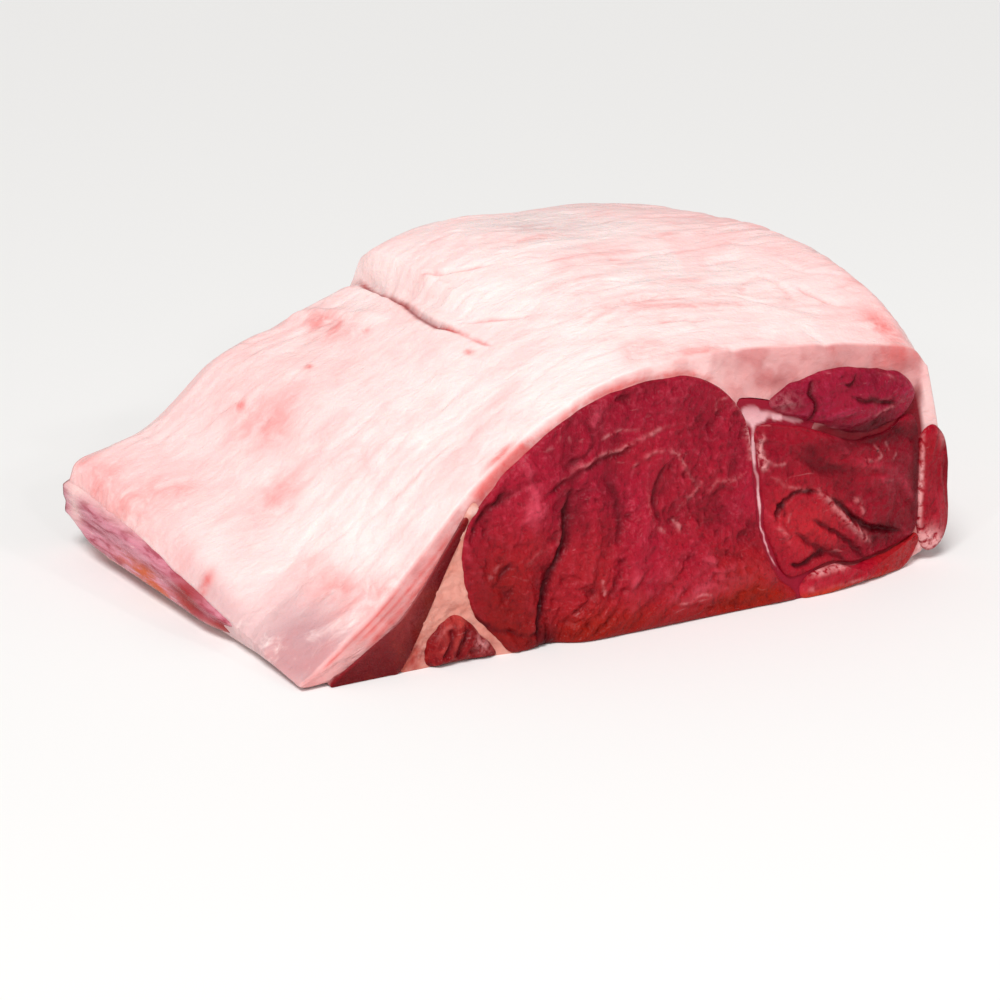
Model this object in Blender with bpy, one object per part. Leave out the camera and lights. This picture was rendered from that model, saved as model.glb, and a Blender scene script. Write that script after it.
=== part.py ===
"""A trimmed piece of beef striploin, fat side up: ten solids that run through the piece.

The piece is described by its cut face, a section across the loin, and by how that section changes on
the way to the far end. Section points are (s, z) in millimetres: s runs from the thin tail of the
section to the chine, z is up. Y runs along the loin, from the cut face to the far end.
"""

import math

import bmesh
import bpy
import numpy as np

MM = 0.001

# The middle of the piece, which becomes the origin.
CENTRE_S = 128.1
CENTRE_Y = 87.8

# Length of the piece along the loin, and how far its two ends belly out.
LENGTH = 180.0
FACE_BELLY = 11.0
FAR_BELLY = 5.0

# Outer line of the fat over the section, from the tail rim to the chine, at the cut and at the far end.
TOP_AT_CUT = [
    (-3, 1.5), (3, 7), (12, 13), (24, 21.5), (36, 32), (48, 43.5), (60, 55), (76, 67.5), (94, 77.5),
    (112, 84.5), (130, 88.5), (150, 90.5), (172, 90.5), (194, 89), (215, 87), (232, 84.5), (246, 81), (254, 73),
]
TOP_AT_FAR = [
    (-9, 27), (-5, 35.5), (8, 41.5), (22, 46), (37, 56), (50, 67), (64, 74.5), (76, 78), (88, 83.5),
    (99, 87.5), (110, 92), (124, 99), (150, 108.5), (174, 112.5), (200, 114), (224, 113), (246, 108), (257, 94),
]
# The back of the loin swells between its ends, by this much over the line from tail to chine.
SWELL_AT = [0.42, 0.65, 0.80, 0.90, 1.0]
SWELL = [0.0, 8.0, 6.5, 9.0, 14.0]
SIDE_SWELL = 6.0
# The chine edge rises this much within a short way of the cut.
CHINE_RISE = 4.5
# The edge round the far end is rounded over this length.
FAR_ROUND = 4.0
# A fold in the fat runs along the loin: the fat stands higher on its chine side.
FOLD_S = 109.5
FOLD_START = 62.0
FOLD_STEP = 8.5
FOLD_GROOVE = 2.0

# Down the chine side, at the cut; heights grow with the section.
CHINE_SIDE = [(259.5, 54), (262, 44), (262.5, 32), (263.5, 20), (262, 9), (255, 3)]
UNDERSIDE = 1.2
# A groove runs up the cut face of the eye muscle from its lower edge.
GROOVE_S = 88.0
GROOVE_LEAN = 0.18
GROOVE_WIDTH = 7.0
GROOVE_DEPTH = 4.5
# The tail side: below the rim of the fat the piece stands off its base, more towards the far end.
LOW_AT_CUT = (1, 0.9)
LOW_AT_FAR = (-6, 3.0)
LOW_REACH = 52.0
# At the far end the tail corner lifts off the base.
CORNER_LIFT = 7.0

# Muscles: outline of each at the cut.
EYE_OUTLINE = [
    (74, 0), (66, 7.5), (60.5, 15), (57.5, 22.5), (56.5, 33), (58, 43.5), (67.5, 53.5), (77, 62), (92, 71.5),
    (108, 79), (124, 82.5), (141, 83.5), (152, 81.5), (161, 76.5), (167.5, 70), (171, 62), (172, 50),
    (172.2, 38), (172.8, 28), (175.8, 18), (181, 8), (186, 0), (150, 0), (111, 0), (90, 0),
]
RUMP_OUTLINE = [
    (186, 8.5), (179.8, 17), (177, 25), (175.8, 33), (175.1, 44), (174.3, 54), (175, 62), (190, 61),
    (202, 57), (216, 51.6), (226, 51.6), (235, 53.2), (243, 57), (247.5, 55), (249.3, 46), (250, 30), (249.4, 14.5),
    (240, 10.5), (217, 8.8), (203, 11),
]
TOP_OUTLINE = [
    (179.5, 70), (189, 75.2), (199, 77.2), (206, 78.5), (218, 78), (232, 75), (242, 71), (247, 65), (243, 59.5),
    (234, 55.6), (225, 54), (217, 54.2), (204, 59.2), (193, 63.8), (185, 66.4),
]
LOWER_OUTLINE = [(191, 0), (192, 7), (203, 9.4), (217, 6.8), (240, 8.5), (250, 12), (251.5, 7.5), (241, 0), (215, 0)]
SIDE_OUTLINE = [
    (251.4, 14), (251.6, 30), (251.5, 46), (256, 51), (261.5, 47.5), (264, 40), (264.6, 30), (265.5, 19), (264.5, 9),
    (259, 4.5), (254, 7),
]
TAIL_OUTLINE = [
    (44, 0.3), (42, 4), (43.5, 9.5), (48, 14), (53, 15), (58, 12.6), (61.8, 8.5), (65.5, 3.5), (66.5, 0.3), (56, 0),
]
# Softer tissue between muscles: each is cut back to the beds of the muscles beside it.
TAIL_FAT_OUTLINE = [
    (33, 0.2), (38.5, 13), (48, 29.5), (60, 50.5), (63.5, 49), (61, 42), (60, 33), (61, 24), (64, 16), (70, 8),
    (77, 0.2), (60, 0.2),
]
SEAM_OUTLINE = [
    (167, 71.5), (171, 72.5), (177, 71.5), (184, 69.5), (192, 66.5), (200, 62.5), (196, 58), (184, 56), (181, 44),
    (182, 34), (186, 24), (193, 14), (198, 6), (196, 0.2), (182, 0.2), (173, 14), (168, 30), (167, 45), (166, 60),
]
# The flank muscle's depth below the outer line of the fat, and its thickness, from the tail to its tip.
FLANK_DEPTH_CUT = [6.6, 9.0, 9.0, 6.8, 4.2]
FLANK_DEPTH_FAR = [5.5, 5.8, 6.0, 5.6, 4.2]
FLANK_THICK_CUT = [12.0, 15.0, 8.0, 4.0, 1.6]
FLANK_THICK_FAR = [16.0, 20.0, 14.0, 5.5, 1.6]
FLANK_FROM_CUT = 0.07
FLANK_TIP = 0.330
# It comes out at the tail side within this distance of the cut, and stands a little proud there.
FLANK_OUT_BY = 62.0
FLANK_PROUD = 1.0

# Neighbours stand this far apart; the bed of a muscle goes on this far beyond its ends.
GAP = 0.35
BED_PAST = 3.0

LEAN_COLOUR = (0.40, 0.022, 0.035)
LEAN_DARK = (0.31, 0.018, 0.035)
SILVERSKIN = (0.50, 0.20, 0.24)
FAT_COLOUR = (0.90, 0.68, 0.65)
INNER_FAT = (0.78, 0.42, 0.30)
SEAM_COLOUR = (0.86, 0.55, 0.52)

# How finely each solid is drawn.
TOP_POINTS = 42
BODY_STATIONS = 11
BODY_RINGS = 2
MUSCLE_STATIONS = 6
END_RINGS = 3
# Edges shorter than this, left by cutting, are closed up.
SHORTEST = 0.001


def smooth(x):
    """Zero below 0, one above 1, with an even S between."""
    x = np.clip(x, 0.0, 1.0)
    return x * x * (3 - 2 * x)


def spline(points, t):
    """Catmull-Rom curve through the points; t in 0..1 is spread evenly by point number."""
    p = np.asarray(points, float)
    last = len(p) - 1
    x = np.clip(np.asarray(t, float) * last, 0, last - 1e-9)
    i = x.astype(int)
    f = (x - i)[..., None]
    q = np.vstack([2 * p[0] - p[1], p, 2 * p[-1] - p[-2]])
    a, b, c, d = q[i], q[i + 1], q[i + 2], q[i + 3]
    return 0.5 * (2 * b + (c - a) * f + (2 * a - 5 * b + 4 * c - d) * f**2 + (3 * b - a - 3 * c + d) * f**3)


def closed_spline(points, count):
    """Closed Catmull-Rom curve through the points, at count places evenly spaced by length."""
    p = np.asarray(points, float)
    n = len(p)
    x = np.linspace(0, n, 40 * n, endpoint=False)
    i = x.astype(int)
    f = (x - i)[:, None]
    a, b, c, d = p[(i - 1) % n], p[i % n], p[(i + 1) % n], p[(i + 2) % n]
    fine = 0.5 * (2 * b + (c - a) * f + (2 * a - 5 * b + 4 * c - d) * f**2 + (3 * b - a - 3 * c + d) * f**3)
    step = np.linalg.norm(np.roll(fine, -1, axis=0) - fine, axis=1)
    run = np.concatenate([[0], np.cumsum(step)])
    places = np.linspace(0, run[-1], count, endpoint=False)
    ring = np.vstack([fine, fine[:1]])
    return np.stack([np.interp(places, run, ring[:, k]) for k in (0, 1)], 1)


def grown(outline, by):
    """The outline with every edge moved out by the same distance, corners mitred."""
    edge = np.roll(outline, -1, axis=0) - outline
    edge /= np.linalg.norm(edge, axis=1)[:, None]
    ahead = np.roll(outline, -1, axis=0)
    area = 0.5 * np.sum(outline[:, 0] * ahead[:, 1] - ahead[:, 0] * outline[:, 1])
    normal = np.stack([edge[:, 1], -edge[:, 0]], 1) * math.copysign(1, area)
    before = np.roll(normal, 1, axis=0)
    spread = 1 + np.sum(normal * before, axis=1)
    return outline + by * (normal + before) / np.maximum(spread, 0.06)[:, None]


def far_share(y):
    """How far the section has changed from the cut's to the far end's."""
    t = np.clip(y / LENGTH, 0, 1)
    return 0.45 * t + 0.55 * np.sin(0.5 * math.pi * t)


def swell_at(y):
    """Swelling of the piece between its ends, 0 at either end and 1 midway."""
    t = float(np.clip(y / LENGTH, 0, 1))
    return math.sin(math.pi * t) ** 0.9 if 0 < t < 1 else 0.0


def top_line(a, y, folded=True):
    """Outer line of the fat at station y, for a from 0 at the tail rim to 1 at the chine."""
    share = far_share(y)
    line = spline(TOP_AT_CUT, a) * (1 - share) + spline(TOP_AT_FAR, a) * share
    line[:, 1] += np.interp(a, SWELL_AT, SWELL) * swell_at(y)
    line[:, 1] += CHINE_RISE * smooth(y / 26) * (1 - smooth((y - 60) / 90)) * smooth((a - 0.82) / 0.14)
    line[:, 0] += SIDE_SWELL * swell_at(y) * smooth((a - 0.80) / 0.2)
    line[:, 1] -= FAR_ROUND * smooth((y - LENGTH + 14) / 14) ** 2 * smooth(a * 8)
    if folded:
        fold = smooth((y - FOLD_START) / (LENGTH - FOLD_START))
        past = line[:, 0] - FOLD_S
        line[:, 1] += FOLD_STEP * fold * smooth(past / 6) * (1 - smooth((past - 14) / 60))
        line[:, 1] -= FOLD_GROOVE * fold**0.5 * np.exp(-((past / 3.0) ** 2))
    return line


def growth(s, y):
    """How much taller the section is at station y than at the cut, over s."""
    a = np.linspace(0, 1, 200)
    at = np.clip(s, 56, 240)
    here, cut = top_line(a, y, False), top_line(a, 0.0, False)
    return np.interp(at, here[:, 0], here[:, 1]) / np.interp(at, cut[:, 0], cut[:, 1])


def section_at(points, y):
    """Section points of the cut, carried to station y."""
    points = np.asarray(points, float)
    return np.stack([points[:, 0], points[:, 1] * growth(points[:, 0], y)], 1)


def face_out(s, z):
    """How far the cut face stands out in front of its own top edge: its lower part bellies out."""
    across = 0.4 + 0.6 * smooth((s - 50) / 55) * (1 - smooth((s - 195) / 50)) - 0.45 * smooth((s - 225) / 40)
    height = np.clip(1 - z / 84.0, 0, 1)
    groove = np.exp(-(((s - GROOVE_S - GROOVE_LEAN * z) / GROOVE_WIDTH) ** 2)) * (1 - smooth((z - 8) / 42))
    return FACE_BELLY * across * height**1.2 - GROOVE_DEPTH * groove


def far_out(s, z):
    """How far the far end stands out, most at half height."""
    return FAR_BELLY * np.sin(math.pi * np.clip(z / 105.0, 0.02, 1)) * smooth((s + 12) / 60)


def low_corner(y):
    """Where the tail side meets the underside at station y."""
    share = far_share(y)
    low = np.array(LOW_AT_CUT) * (1 - share) + np.array(LOW_AT_FAR) * share
    low[1] += CORNER_LIFT * smooth((y - 150) / (LENGTH - 150))
    return low


def body_outline(y):
    """Closed outer line of the whole section at station y."""
    t = np.linspace(0, 1, TOP_POINTS)
    a = t - 0.055 * np.sin(2 * math.pi * (t - 10.0 / 17.0))
    a = (a - a[0]) / (a[-1] - a[0])
    top = top_line(a, y)
    side = section_at(CHINE_SIDE, y)
    side[:, 0] += SIDE_SWELL * swell_at(y) * smooth((side[:, 1] - 15) / 60)
    side = spline(np.vstack([top[-1:], side]), np.linspace(0, 1, 11))[1:]
    low = low_corner(y)
    s = np.linspace(246, low[0], 15)
    bottom = np.stack([s, UNDERSIDE + (low[1] - UNDERSIDE) * smooth((LOW_REACH - s) / (LOW_REACH - low[0])) ** 1.5], 1)
    rim = top[0]
    wall = [low * (1 - v) + rim * v + (-1.2 * math.sin(math.pi * v), 0) for v in (0.3, 0.65)]
    return np.vstack([top, side, bottom, wall])


def end_ring(outline, scale, bulge, sign, y, dome):
    """One ring of an end: the outline shrunk about its middle, standing out as far as the end does there."""
    middle = outline.mean(axis=0)
    ring = middle + (outline - middle) * scale
    out = bulge(ring[:, 0], ring[:, 1]) + dome * (1 - scale**3)
    return np.stack([ring[:, 0], np.full(len(ring), y) + sign * out, ring[:, 1]], 1)


def stood_out(outline, y, front, back):
    """An outline at station y, pushed out near either end as far as the end stands out there."""
    lead = max(0.0, 1 - y / 45.0) ** 2
    tail = max(0.0, 1 - (LENGTH - y) / 45.0) ** 2
    out = tail * back(outline[:, 0], outline[:, 1]) - lead * front(outline[:, 0], outline[:, 1])
    return np.stack([outline[:, 0], y + out, outline[:, 1]], 1)


def loft(name, outline_of, count, rings, front, back, dome, past, colour):
    """A closed solid: outlines along Y, with domed ends of shrinking rings, or plain ends if rings is 0.

    With past the solid goes on straight by that much beyond each end.
    """
    stations = np.linspace(0, LENGTH, count)
    first, last = outline_of(0.0), outline_of(LENGTH)
    scales = (1 - np.linspace(0, 1, rings + 1)) ** 1.7 if rings else np.ones(1)
    begin = [end_ring(first, scale, front, -1, -past, dome) for scale in scales[:0:-1]]
    middle = [stood_out(outline_of(y), y, front, back) for y in stations]
    finish = [end_ring(last, scale, back, 1, LENGTH + past, dome) for scale in scales[1:]]
    if past:
        middle = [middle[0] - (0, past, 0)] + middle + [middle[-1] + (0, past, 0)]
    points = begin + middle + finish
    around = len(first)
    work = bmesh.new()
    rows = [[work.verts.new(p * MM) for p in ring] for ring in (points[1:-1] if rings else points)]
    for here, ahead in zip(rows, rows[1:]):
        for k in range(around):
            m = (k + 1) % around
            work.faces.new((here[k], here[m], ahead[m]))
            work.faces.new((here[k], ahead[m], ahead[k]))
    if rings:
        start, end = (work.verts.new(ring.mean(axis=0) * MM) for ring in (points[0], points[-1]))
        for k in range(around):
            m = (k + 1) % around
            work.faces.new((start, rows[0][m], rows[0][k]))
            work.faces.new((end, rows[-1][k], rows[-1][m]))
    else:
        work.faces.new(rows[0][::-1])
        work.faces.new(rows[-1])
    bmesh.ops.recalc_face_normals(work, faces=work.faces)
    bmesh.ops.triangulate(work, faces=work.faces)
    mesh = bpy.data.meshes.new(name)
    work.to_mesh(mesh)
    work.free()
    solid = bpy.data.objects.new(name, mesh)
    bpy.context.collection.objects.link(solid)
    mesh.materials.append(material(name, colour))
    return solid


def material(name, colour):
    """A moist, satin surface of one colour."""
    made = bpy.data.materials.new(name)
    made.use_nodes = True
    shader = made.node_tree.nodes["Principled BSDF"]
    shader.inputs["Base Color"].default_value = (*colour, 1)
    shader.inputs["Roughness"].default_value = 0.4
    shader.inputs["Metallic"].default_value = 0.0
    return made


def flank_line(y):
    """Section of the flank muscle: under the fat, tapering to a tip, and bare on the tail side."""
    share = far_share(y)
    out = float(smooth((y - 4) / FLANK_OUT_BY))
    u = np.linspace(0, 1, 14)
    a = FLANK_FROM_CUT * (1 - out) + 0.03 * out
    a = a + (FLANK_TIP - a) * u
    depth, thick = (
        np.interp(u, np.linspace(0, 1, 5), np.array(cut) * (1 - share) + np.array(far) * share)[:, None]
        for cut, far in ((FLANK_DEPTH_CUT, FLANK_DEPTH_FAR), (FLANK_THICK_CUT, FLANK_THICK_FAR))
    )
    along = top_line(a + 0.004, y) - top_line(a - 0.004, y)
    along /= np.linalg.norm(along, axis=1)[:, None]
    inward = np.stack([along[:, 1], -along[:, 0]], 1)
    upper = top_line(a, y) + depth * inward
    inner = upper + thick * inward
    rim, low = top_line(np.array([0.0]), y)[0], low_corner(y)
    bare = [low * (1 - v) + rim * v + (-1.2 - FLANK_PROUD, 0.5) for v in (0.12, 0.48, 0.86)]
    blunt = upper[0] + (-1.0, -2.4)
    inside = [inner[3] * (1 - v) + blunt * v for v in (0.4, 0.75, 1.0)]
    outer = np.array(inside) * (1 - out) + np.array(bare) * out
    line = np.vstack([upper, inner[:2:-1], outer])
    line[:, 1] = np.maximum(line[:, 1], 0.3)
    return line


class Piece:
    """One solid of the food: its outline at the cut, how it is drawn, and whose beds it is cut back to."""

    def __init__(
        self, name, outline, around, dome, colour, beside=(), line=None, rings=END_RINGS, stations=MUSCLE_STATIONS
    ):
        self.name = name
        self.cut = closed_spline(outline, around) if outline else None
        self.dome = dome
        self.colour = colour
        self.beside = beside
        self.line = line
        self.rings = rings if dome else 0
        self.stations = stations

    def outline(self, y, extra):
        """The outline at station y, grown by extra for a bed."""
        line = self.line(y) if self.line else section_at(self.cut, y)
        if extra:
            return grown(line, extra)
        line[:, 1] = np.maximum(line[:, 1], 0.0)
        return line

    def build(self, name, extra=0.0):
        """The solid itself, or with extra the slightly larger bed it lies in."""
        past = BED_PAST if extra else 0.0

        def line(y):
            return self.outline(y, extra)

        return loft(name, line, self.stations, self.rings, face_out, far_out, self.dome, past, self.colour)


PIECES = [
    Piece("eye_muscle", EYE_OUTLINE, 56, 2.4, LEAN_COLOUR, rings=6),
    Piece("rump_muscle", RUMP_OUTLINE, 38, 1.0, LEAN_DARK),
    Piece("top_muscle", TOP_OUTLINE, 26, 3.0, LEAN_COLOUR),
    Piece("lower_muscle", LOWER_OUTLINE, 24, 2.0, LEAN_COLOUR),
    Piece("side_muscle", SIDE_OUTLINE, 22, 0.8, LEAN_COLOUR),
    Piece("tail_muscle", TAIL_OUTLINE, 18, 2.6, LEAN_DARK),
    Piece("flank_muscle", None, 36, 0.0, SILVERSKIN, line=flank_line, stations=15),
    Piece("tail_fat", TAIL_FAT_OUTLINE, 30, 0.0, INNER_FAT, beside=("eye_muscle", "flank_muscle", "tail_muscle")),
    Piece(
        "seam", SEAM_OUTLINE, 38, 0.0, SEAM_COLOUR,
        beside=("eye_muscle", "rump_muscle", "top_muscle", "lower_muscle"),
    ),
]


def keep_largest(mesh):
    """Drops the loose scraps that cutting leaves, keeping the piece with most faces, and closes up tiny edges."""
    work = bmesh.new()
    work.from_mesh(mesh)
    left, groups = set(work.faces), []
    while left:
        group, queue = set(), [left.pop()]
        while queue:
            face = queue.pop()
            group.add(face)
            for edge in face.edges:
                for other in edge.link_faces:
                    if other in left:
                        left.discard(other)
                        queue.append(other)
        groups.append(group)
    groups.sort(key=lambda group: sum(face.calc_area() for face in group))
    scraps = [face for group in groups[:-1] for face in group]
    if scraps:
        bmesh.ops.delete(work, geom=scraps, context="FACES")
    bmesh.ops.dissolve_degenerate(work, dist=SHORTEST * MM, edges=work.edges)
    bmesh.ops.triangulate(work, faces=work.faces)
    work.to_mesh(mesh)
    work.free()


def carve(solid, beds):
    """Cuts the beds out of a solid."""
    for bed in beds:
        cut = solid.modifiers.new("bed", "BOOLEAN")
        cut.operation = "DIFFERENCE"
        cut.solver = "MANIFOLD"
        cut.object = bed
    graph = bpy.context.evaluated_depsgraph_get()
    carved = bpy.data.meshes.new_from_object(solid.evaluated_get(graph))
    solid.modifiers.clear()
    solid.data = carved
    keep_largest(solid.data)


def centre_on_base(solids):
    """Puts the origin under the middle of the piece, at the height that it rests on."""
    shift = np.array([CENTRE_S, CENTRE_Y, 0.0]) * MM
    for solid in solids:
        for vertex in solid.data.vertices:
            vertex.co = np.array(vertex.co) - shift


def main():
    for found in list(bpy.data.objects):
        bpy.data.objects.remove(found)
    beds = {piece.name: piece.build(f"bed_{piece.name}", GAP) for piece in PIECES}
    solids = {piece.name: piece.build(piece.name) for piece in PIECES}
    for piece in PIECES:
        if piece.beside:
            carve(solids[piece.name], [beds[name] for name in piece.beside])

    def recessed(s, z):
        return face_out(s, z) - 1.2

    fat = loft("fat_cap", body_outline, BODY_STATIONS, BODY_RINGS, recessed, far_out, 0.0, 0.0, FAT_COLOUR)
    carve(fat, beds.values())
    solids["fat_cap"] = fat
    for bed in beds.values():
        bpy.data.objects.remove(bed)
    for solid in solids.values():
        solid.data.shade_smooth()
        solid.data.set_sharp_from_angle(angle=math.radians(50))
    centre_on_base(solids.values())


main()
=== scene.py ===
"""A trimmed piece of beef striploin, fat side up, dressed for the camera.

The piece is described as its solids are: by its cut face, a section across the loin, and by how that
section changes towards the far end. Section points are (s, z) in millimetres, s from the thin tail to
the chine and z up, and y runs along the loin from the cut face. Every surface is worked out in those
millimetres as whole arrays, and is put into metres about the middle of the base at the end.
"""

from __future__ import annotations

import logging  # noqa: E402
import math  # noqa: E402
from dataclasses import dataclass, field  # noqa: E402
from enum import Enum  # noqa: E402

import bpy  # noqa: E402
import numpy as np  # noqa: E402
from mathutils import Matrix, Vector  # noqa: E402


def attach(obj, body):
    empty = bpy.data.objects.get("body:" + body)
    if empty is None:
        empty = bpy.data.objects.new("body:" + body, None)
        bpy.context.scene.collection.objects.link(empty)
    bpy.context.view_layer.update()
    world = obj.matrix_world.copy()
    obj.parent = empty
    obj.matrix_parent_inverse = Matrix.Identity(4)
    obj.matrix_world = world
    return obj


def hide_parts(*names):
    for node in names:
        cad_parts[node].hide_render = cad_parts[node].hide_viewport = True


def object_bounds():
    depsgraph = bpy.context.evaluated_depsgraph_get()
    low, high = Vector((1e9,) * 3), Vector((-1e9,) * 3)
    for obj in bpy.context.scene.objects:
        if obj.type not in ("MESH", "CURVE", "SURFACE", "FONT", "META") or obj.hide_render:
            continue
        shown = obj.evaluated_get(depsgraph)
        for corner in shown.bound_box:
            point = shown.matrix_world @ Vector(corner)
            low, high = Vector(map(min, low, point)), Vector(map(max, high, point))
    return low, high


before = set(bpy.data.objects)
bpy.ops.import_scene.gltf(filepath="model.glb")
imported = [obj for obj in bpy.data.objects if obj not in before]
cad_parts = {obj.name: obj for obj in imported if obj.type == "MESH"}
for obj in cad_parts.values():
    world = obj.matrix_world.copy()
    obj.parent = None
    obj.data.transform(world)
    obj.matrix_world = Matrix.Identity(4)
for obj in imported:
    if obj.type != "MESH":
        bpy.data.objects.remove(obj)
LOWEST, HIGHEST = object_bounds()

LOG = logging.getLogger("striploin")
Array = np.ndarray
Points = tuple[tuple[float, float], ...]
Masks = dict[str, Array]
Triple = tuple[float, float, float]
Colour = tuple[int, int, int]
Mesh = bpy.types.Mesh
Socket = bpy.types.NodeSocket

MM = 0.001
# The middle of the base, in section millimetres.
CENTRE = np.array([128.1, 87.8, 0.0])
# The table of heights along the loin: places over the section and how many stations.
TABLE_FROM, TABLE_TO, TABLE_STEP, TABLE_STATIONS = 56, 240, 2, 46
# Edges sharper than this are shown as edges, in degrees.
SHARP = 60


class Slot(Enum):
    """The finishes that the piece is made of."""

    FAT = "fat"
    INNER_FAT = "inner_fat"
    SEAM = "seam"
    LEAN = "lean"
    DARK_LEAN = "dark_lean"
    SILVERSKIN = "silverskin"


class End(Enum):
    """The two cut ends of the piece."""

    CUT = -1
    FAR = 1


def smooth(x: Array) -> Array:
    """Zero below 0, one above 1, and x * x * (3 - 2 x) between."""
    x = np.clip(x, 0.0, 1.0)
    return x * x * (3 - 2 * x)


def tint(red: int, green: int, blue: int) -> tuple[float, float, float, float]:
    """Red, green and blue of 255 as linear light: c / 12.92 or ((c + 0.055) / 1.055) ^ 2.4."""
    seen = np.array([red, green, blue]) / 255
    linear = np.where(seen < 0.04045, seen / 12.92, ((seen + 0.055) / 1.055) ** 2.4)
    return (*(float(c) for c in linear), 1.0)


def spline(points: Points | Array, t: Array) -> Array:
    """Catmull-Rom curve through points: a cubic in the share of the way from one point to the next.

    Args:
        points: The points, at least two.
        t: Places along the curve, 0 to 1, spread evenly by point number.

    Returns:
        One curve point for each t.
    """
    p = np.asarray(points, float)
    last = len(p) - 1
    x = np.clip(np.asarray(t, float) * last, 0, last - 1e-9)
    i = x.astype(int)
    f = (x - i)[..., None]
    q = np.vstack([2 * p[0] - p[1], p, 2 * p[-1] - p[-2]])
    a, b, c, d = q[i], q[i + 1], q[i + 2], q[i + 3]
    return 0.5 * (2 * b + (c - a) * f + (2 * a - 5 * b + 4 * c - d) * f**2 + (3 * b - a - 3 * c + d) * f**3)


def even_loop(points: Points | Array, count: int) -> Array:
    """Closed Catmull-Rom curve through points, at places evenly spaced by length.

    Args:
        points: Corners of the loop, in order.
        count: How many places.

    Returns:
        count points around the loop.
    """
    p = np.asarray(points, float)
    p = np.vstack([p[-1:], p, p[:2]])
    fine = spline(p, np.linspace(1, len(p) - 2, 40 * len(p)) / (len(p) - 1))
    run = np.concatenate([[0], np.cumsum(np.linalg.norm(np.diff(fine, axis=0), axis=1))])
    places = np.linspace(0, run[-1], count, endpoint=False)
    return np.stack([np.interp(places, run, fine[:, k]) for k in (0, 1)], 1)


def outward(loop: Array) -> Array:
    """Unit normals of a closed loop, pointing away from what it encloses: its turned tangent."""
    run = np.roll(loop, -1, axis=0) - np.roll(loop, 1, axis=0)
    run /= np.maximum(np.linalg.norm(run, axis=1), 1e-9)[:, None]
    ahead = np.roll(loop, -1, axis=0)
    area = np.sum(loop[:, 0] * ahead[:, 1] - ahead[:, 0] * loop[:, 1])
    return np.stack([run[:, 1], -run[:, 0]], 1) * math.copysign(1, area)


class Field:
    """A smooth random field over the plane: seeded numbers on a lattice, joined by smooth steps."""

    def __init__(self, seed: int) -> None:
        """Draws the lattice numbers, from -1 to 1.

        Args:
            seed: Which field it is.
        """
        self.lattice = np.random.default_rng(seed).uniform(-1, 1, (64, 64))

    def at(self, u: Array, v: Array) -> Array:
        """The field at (u, v), one lattice cell to a unit.

        Args:
            u: First coordinate.
            v: Second coordinate.

        Returns:
            Values from -1 to 1.
        """
        i, j = np.floor(u).astype(int), np.floor(v).astype(int)
        f, g = smooth(u - i), smooth(v - j)
        low = self.lattice[i % 64, j % 64] * (1 - f) + self.lattice[(i + 1) % 64, j % 64] * f
        high = self.lattice[i % 64, (j + 1) % 64] * (1 - f) + self.lattice[(i + 1) % 64, (j + 1) % 64] * f
        return low * (1 - g) + high * g

    def layered(self, u: Array, v: Array, layers: int = 4) -> Array:
        """The field summed with itself at twice the pitch and half the height, and so on.

        Args:
            u: First coordinate.
            v: Second coordinate.
            layers: How many layers.

        Returns:
            Values of about -1 to 1.
        """
        return sum(self.at(u * 2**k + 17 * k, v * 2**k - 29 * k) * 0.5**k for k in range(layers)) * 0.6


@dataclass(frozen=True)
class Mark:
    """A line on a surface, such as a crease, a ridge, a sinew or a vein.

    Its share of a place is exp(-(d / w)^2), where d is the distance from the curve through its points and
    w its width, which narrows towards both ends.
    """

    points: Points
    width: float
    height: float = 0.0
    pale: float = 0.0
    # How much the line is darkened: on creases this is painted shade, and on the cap's fold also its own dark
    # red.
    deep: float = 0.0

    def share(self, u: Array, v: Array) -> Array:
        """How much of the mark is at each place.

        Args:
            u: First coordinate of the places.
            v: Second coordinate of the places.

        Returns:
            0 away from the mark to 1 on it.
        """
        curve = spline(self.points, np.linspace(0, 1, 6 * len(self.points)))
        reach = 2.6 * self.width
        near = (u > curve[:, 0].min() - reach) & (u < curve[:, 0].max() + reach)
        near &= (v > curve[:, 1].min() - reach) & (v < curve[:, 1].max() + reach)
        x, y = u[near], v[near]
        gap, along = np.full(x.shape, 1e9), np.zeros(x.shape)
        for k, (start, run) in enumerate(zip(curve, np.diff(curve, axis=0))):
            f = np.clip(((x - start[0]) * run[0] + (y - start[1]) * run[1]) / max(run @ run, 1e-9), 0, 1)
            here = np.hypot(x - start[0] - f * run[0], y - start[1] - f * run[1])
            along = np.where(here < gap, (k + f) / (len(curve) - 1), along)
            gap = np.minimum(gap, here)
        taper = smooth(np.minimum(along, 1 - along) * 5 + 0.12)
        out = np.zeros(u.shape)
        out[near] = np.exp(-((gap / (self.width * (0.45 + 0.55 * taper))) ** 2)) * taper
        return out


@dataclass(frozen=True)
class Blot:
    """A soft-edged patch: exp(-r^2), where r is the distance from its middle in its own two radii."""

    u: float
    v: float
    across: float
    along: float
    strength: float = 1.0

    def share(self, u: Array, v: Array) -> Array:
        """How much of the patch is at each place.

        Args:
            u: First coordinate of the places.
            v: Second coordinate of the places.

        Returns:
            0 away from the patch to its strength at its middle.
        """
        return self.strength * np.exp(-(((u - self.u) / self.across) ** 2) - ((v - self.v) / self.along) ** 2)


def covered(parts: tuple[Mark | Blot, ...], u: Array, v: Array) -> Array:
    """How much of some marks and patches is at each place: the sum of their shares.

    Args:
        parts: The marks and patches.
        u: First coordinate of the places.
        v: Second coordinate of the places.

    Returns:
        0 away from them all, and 1 or more on them.
    """
    return sum((part.share(u, v) for part in parts), np.zeros(u.shape))


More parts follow.
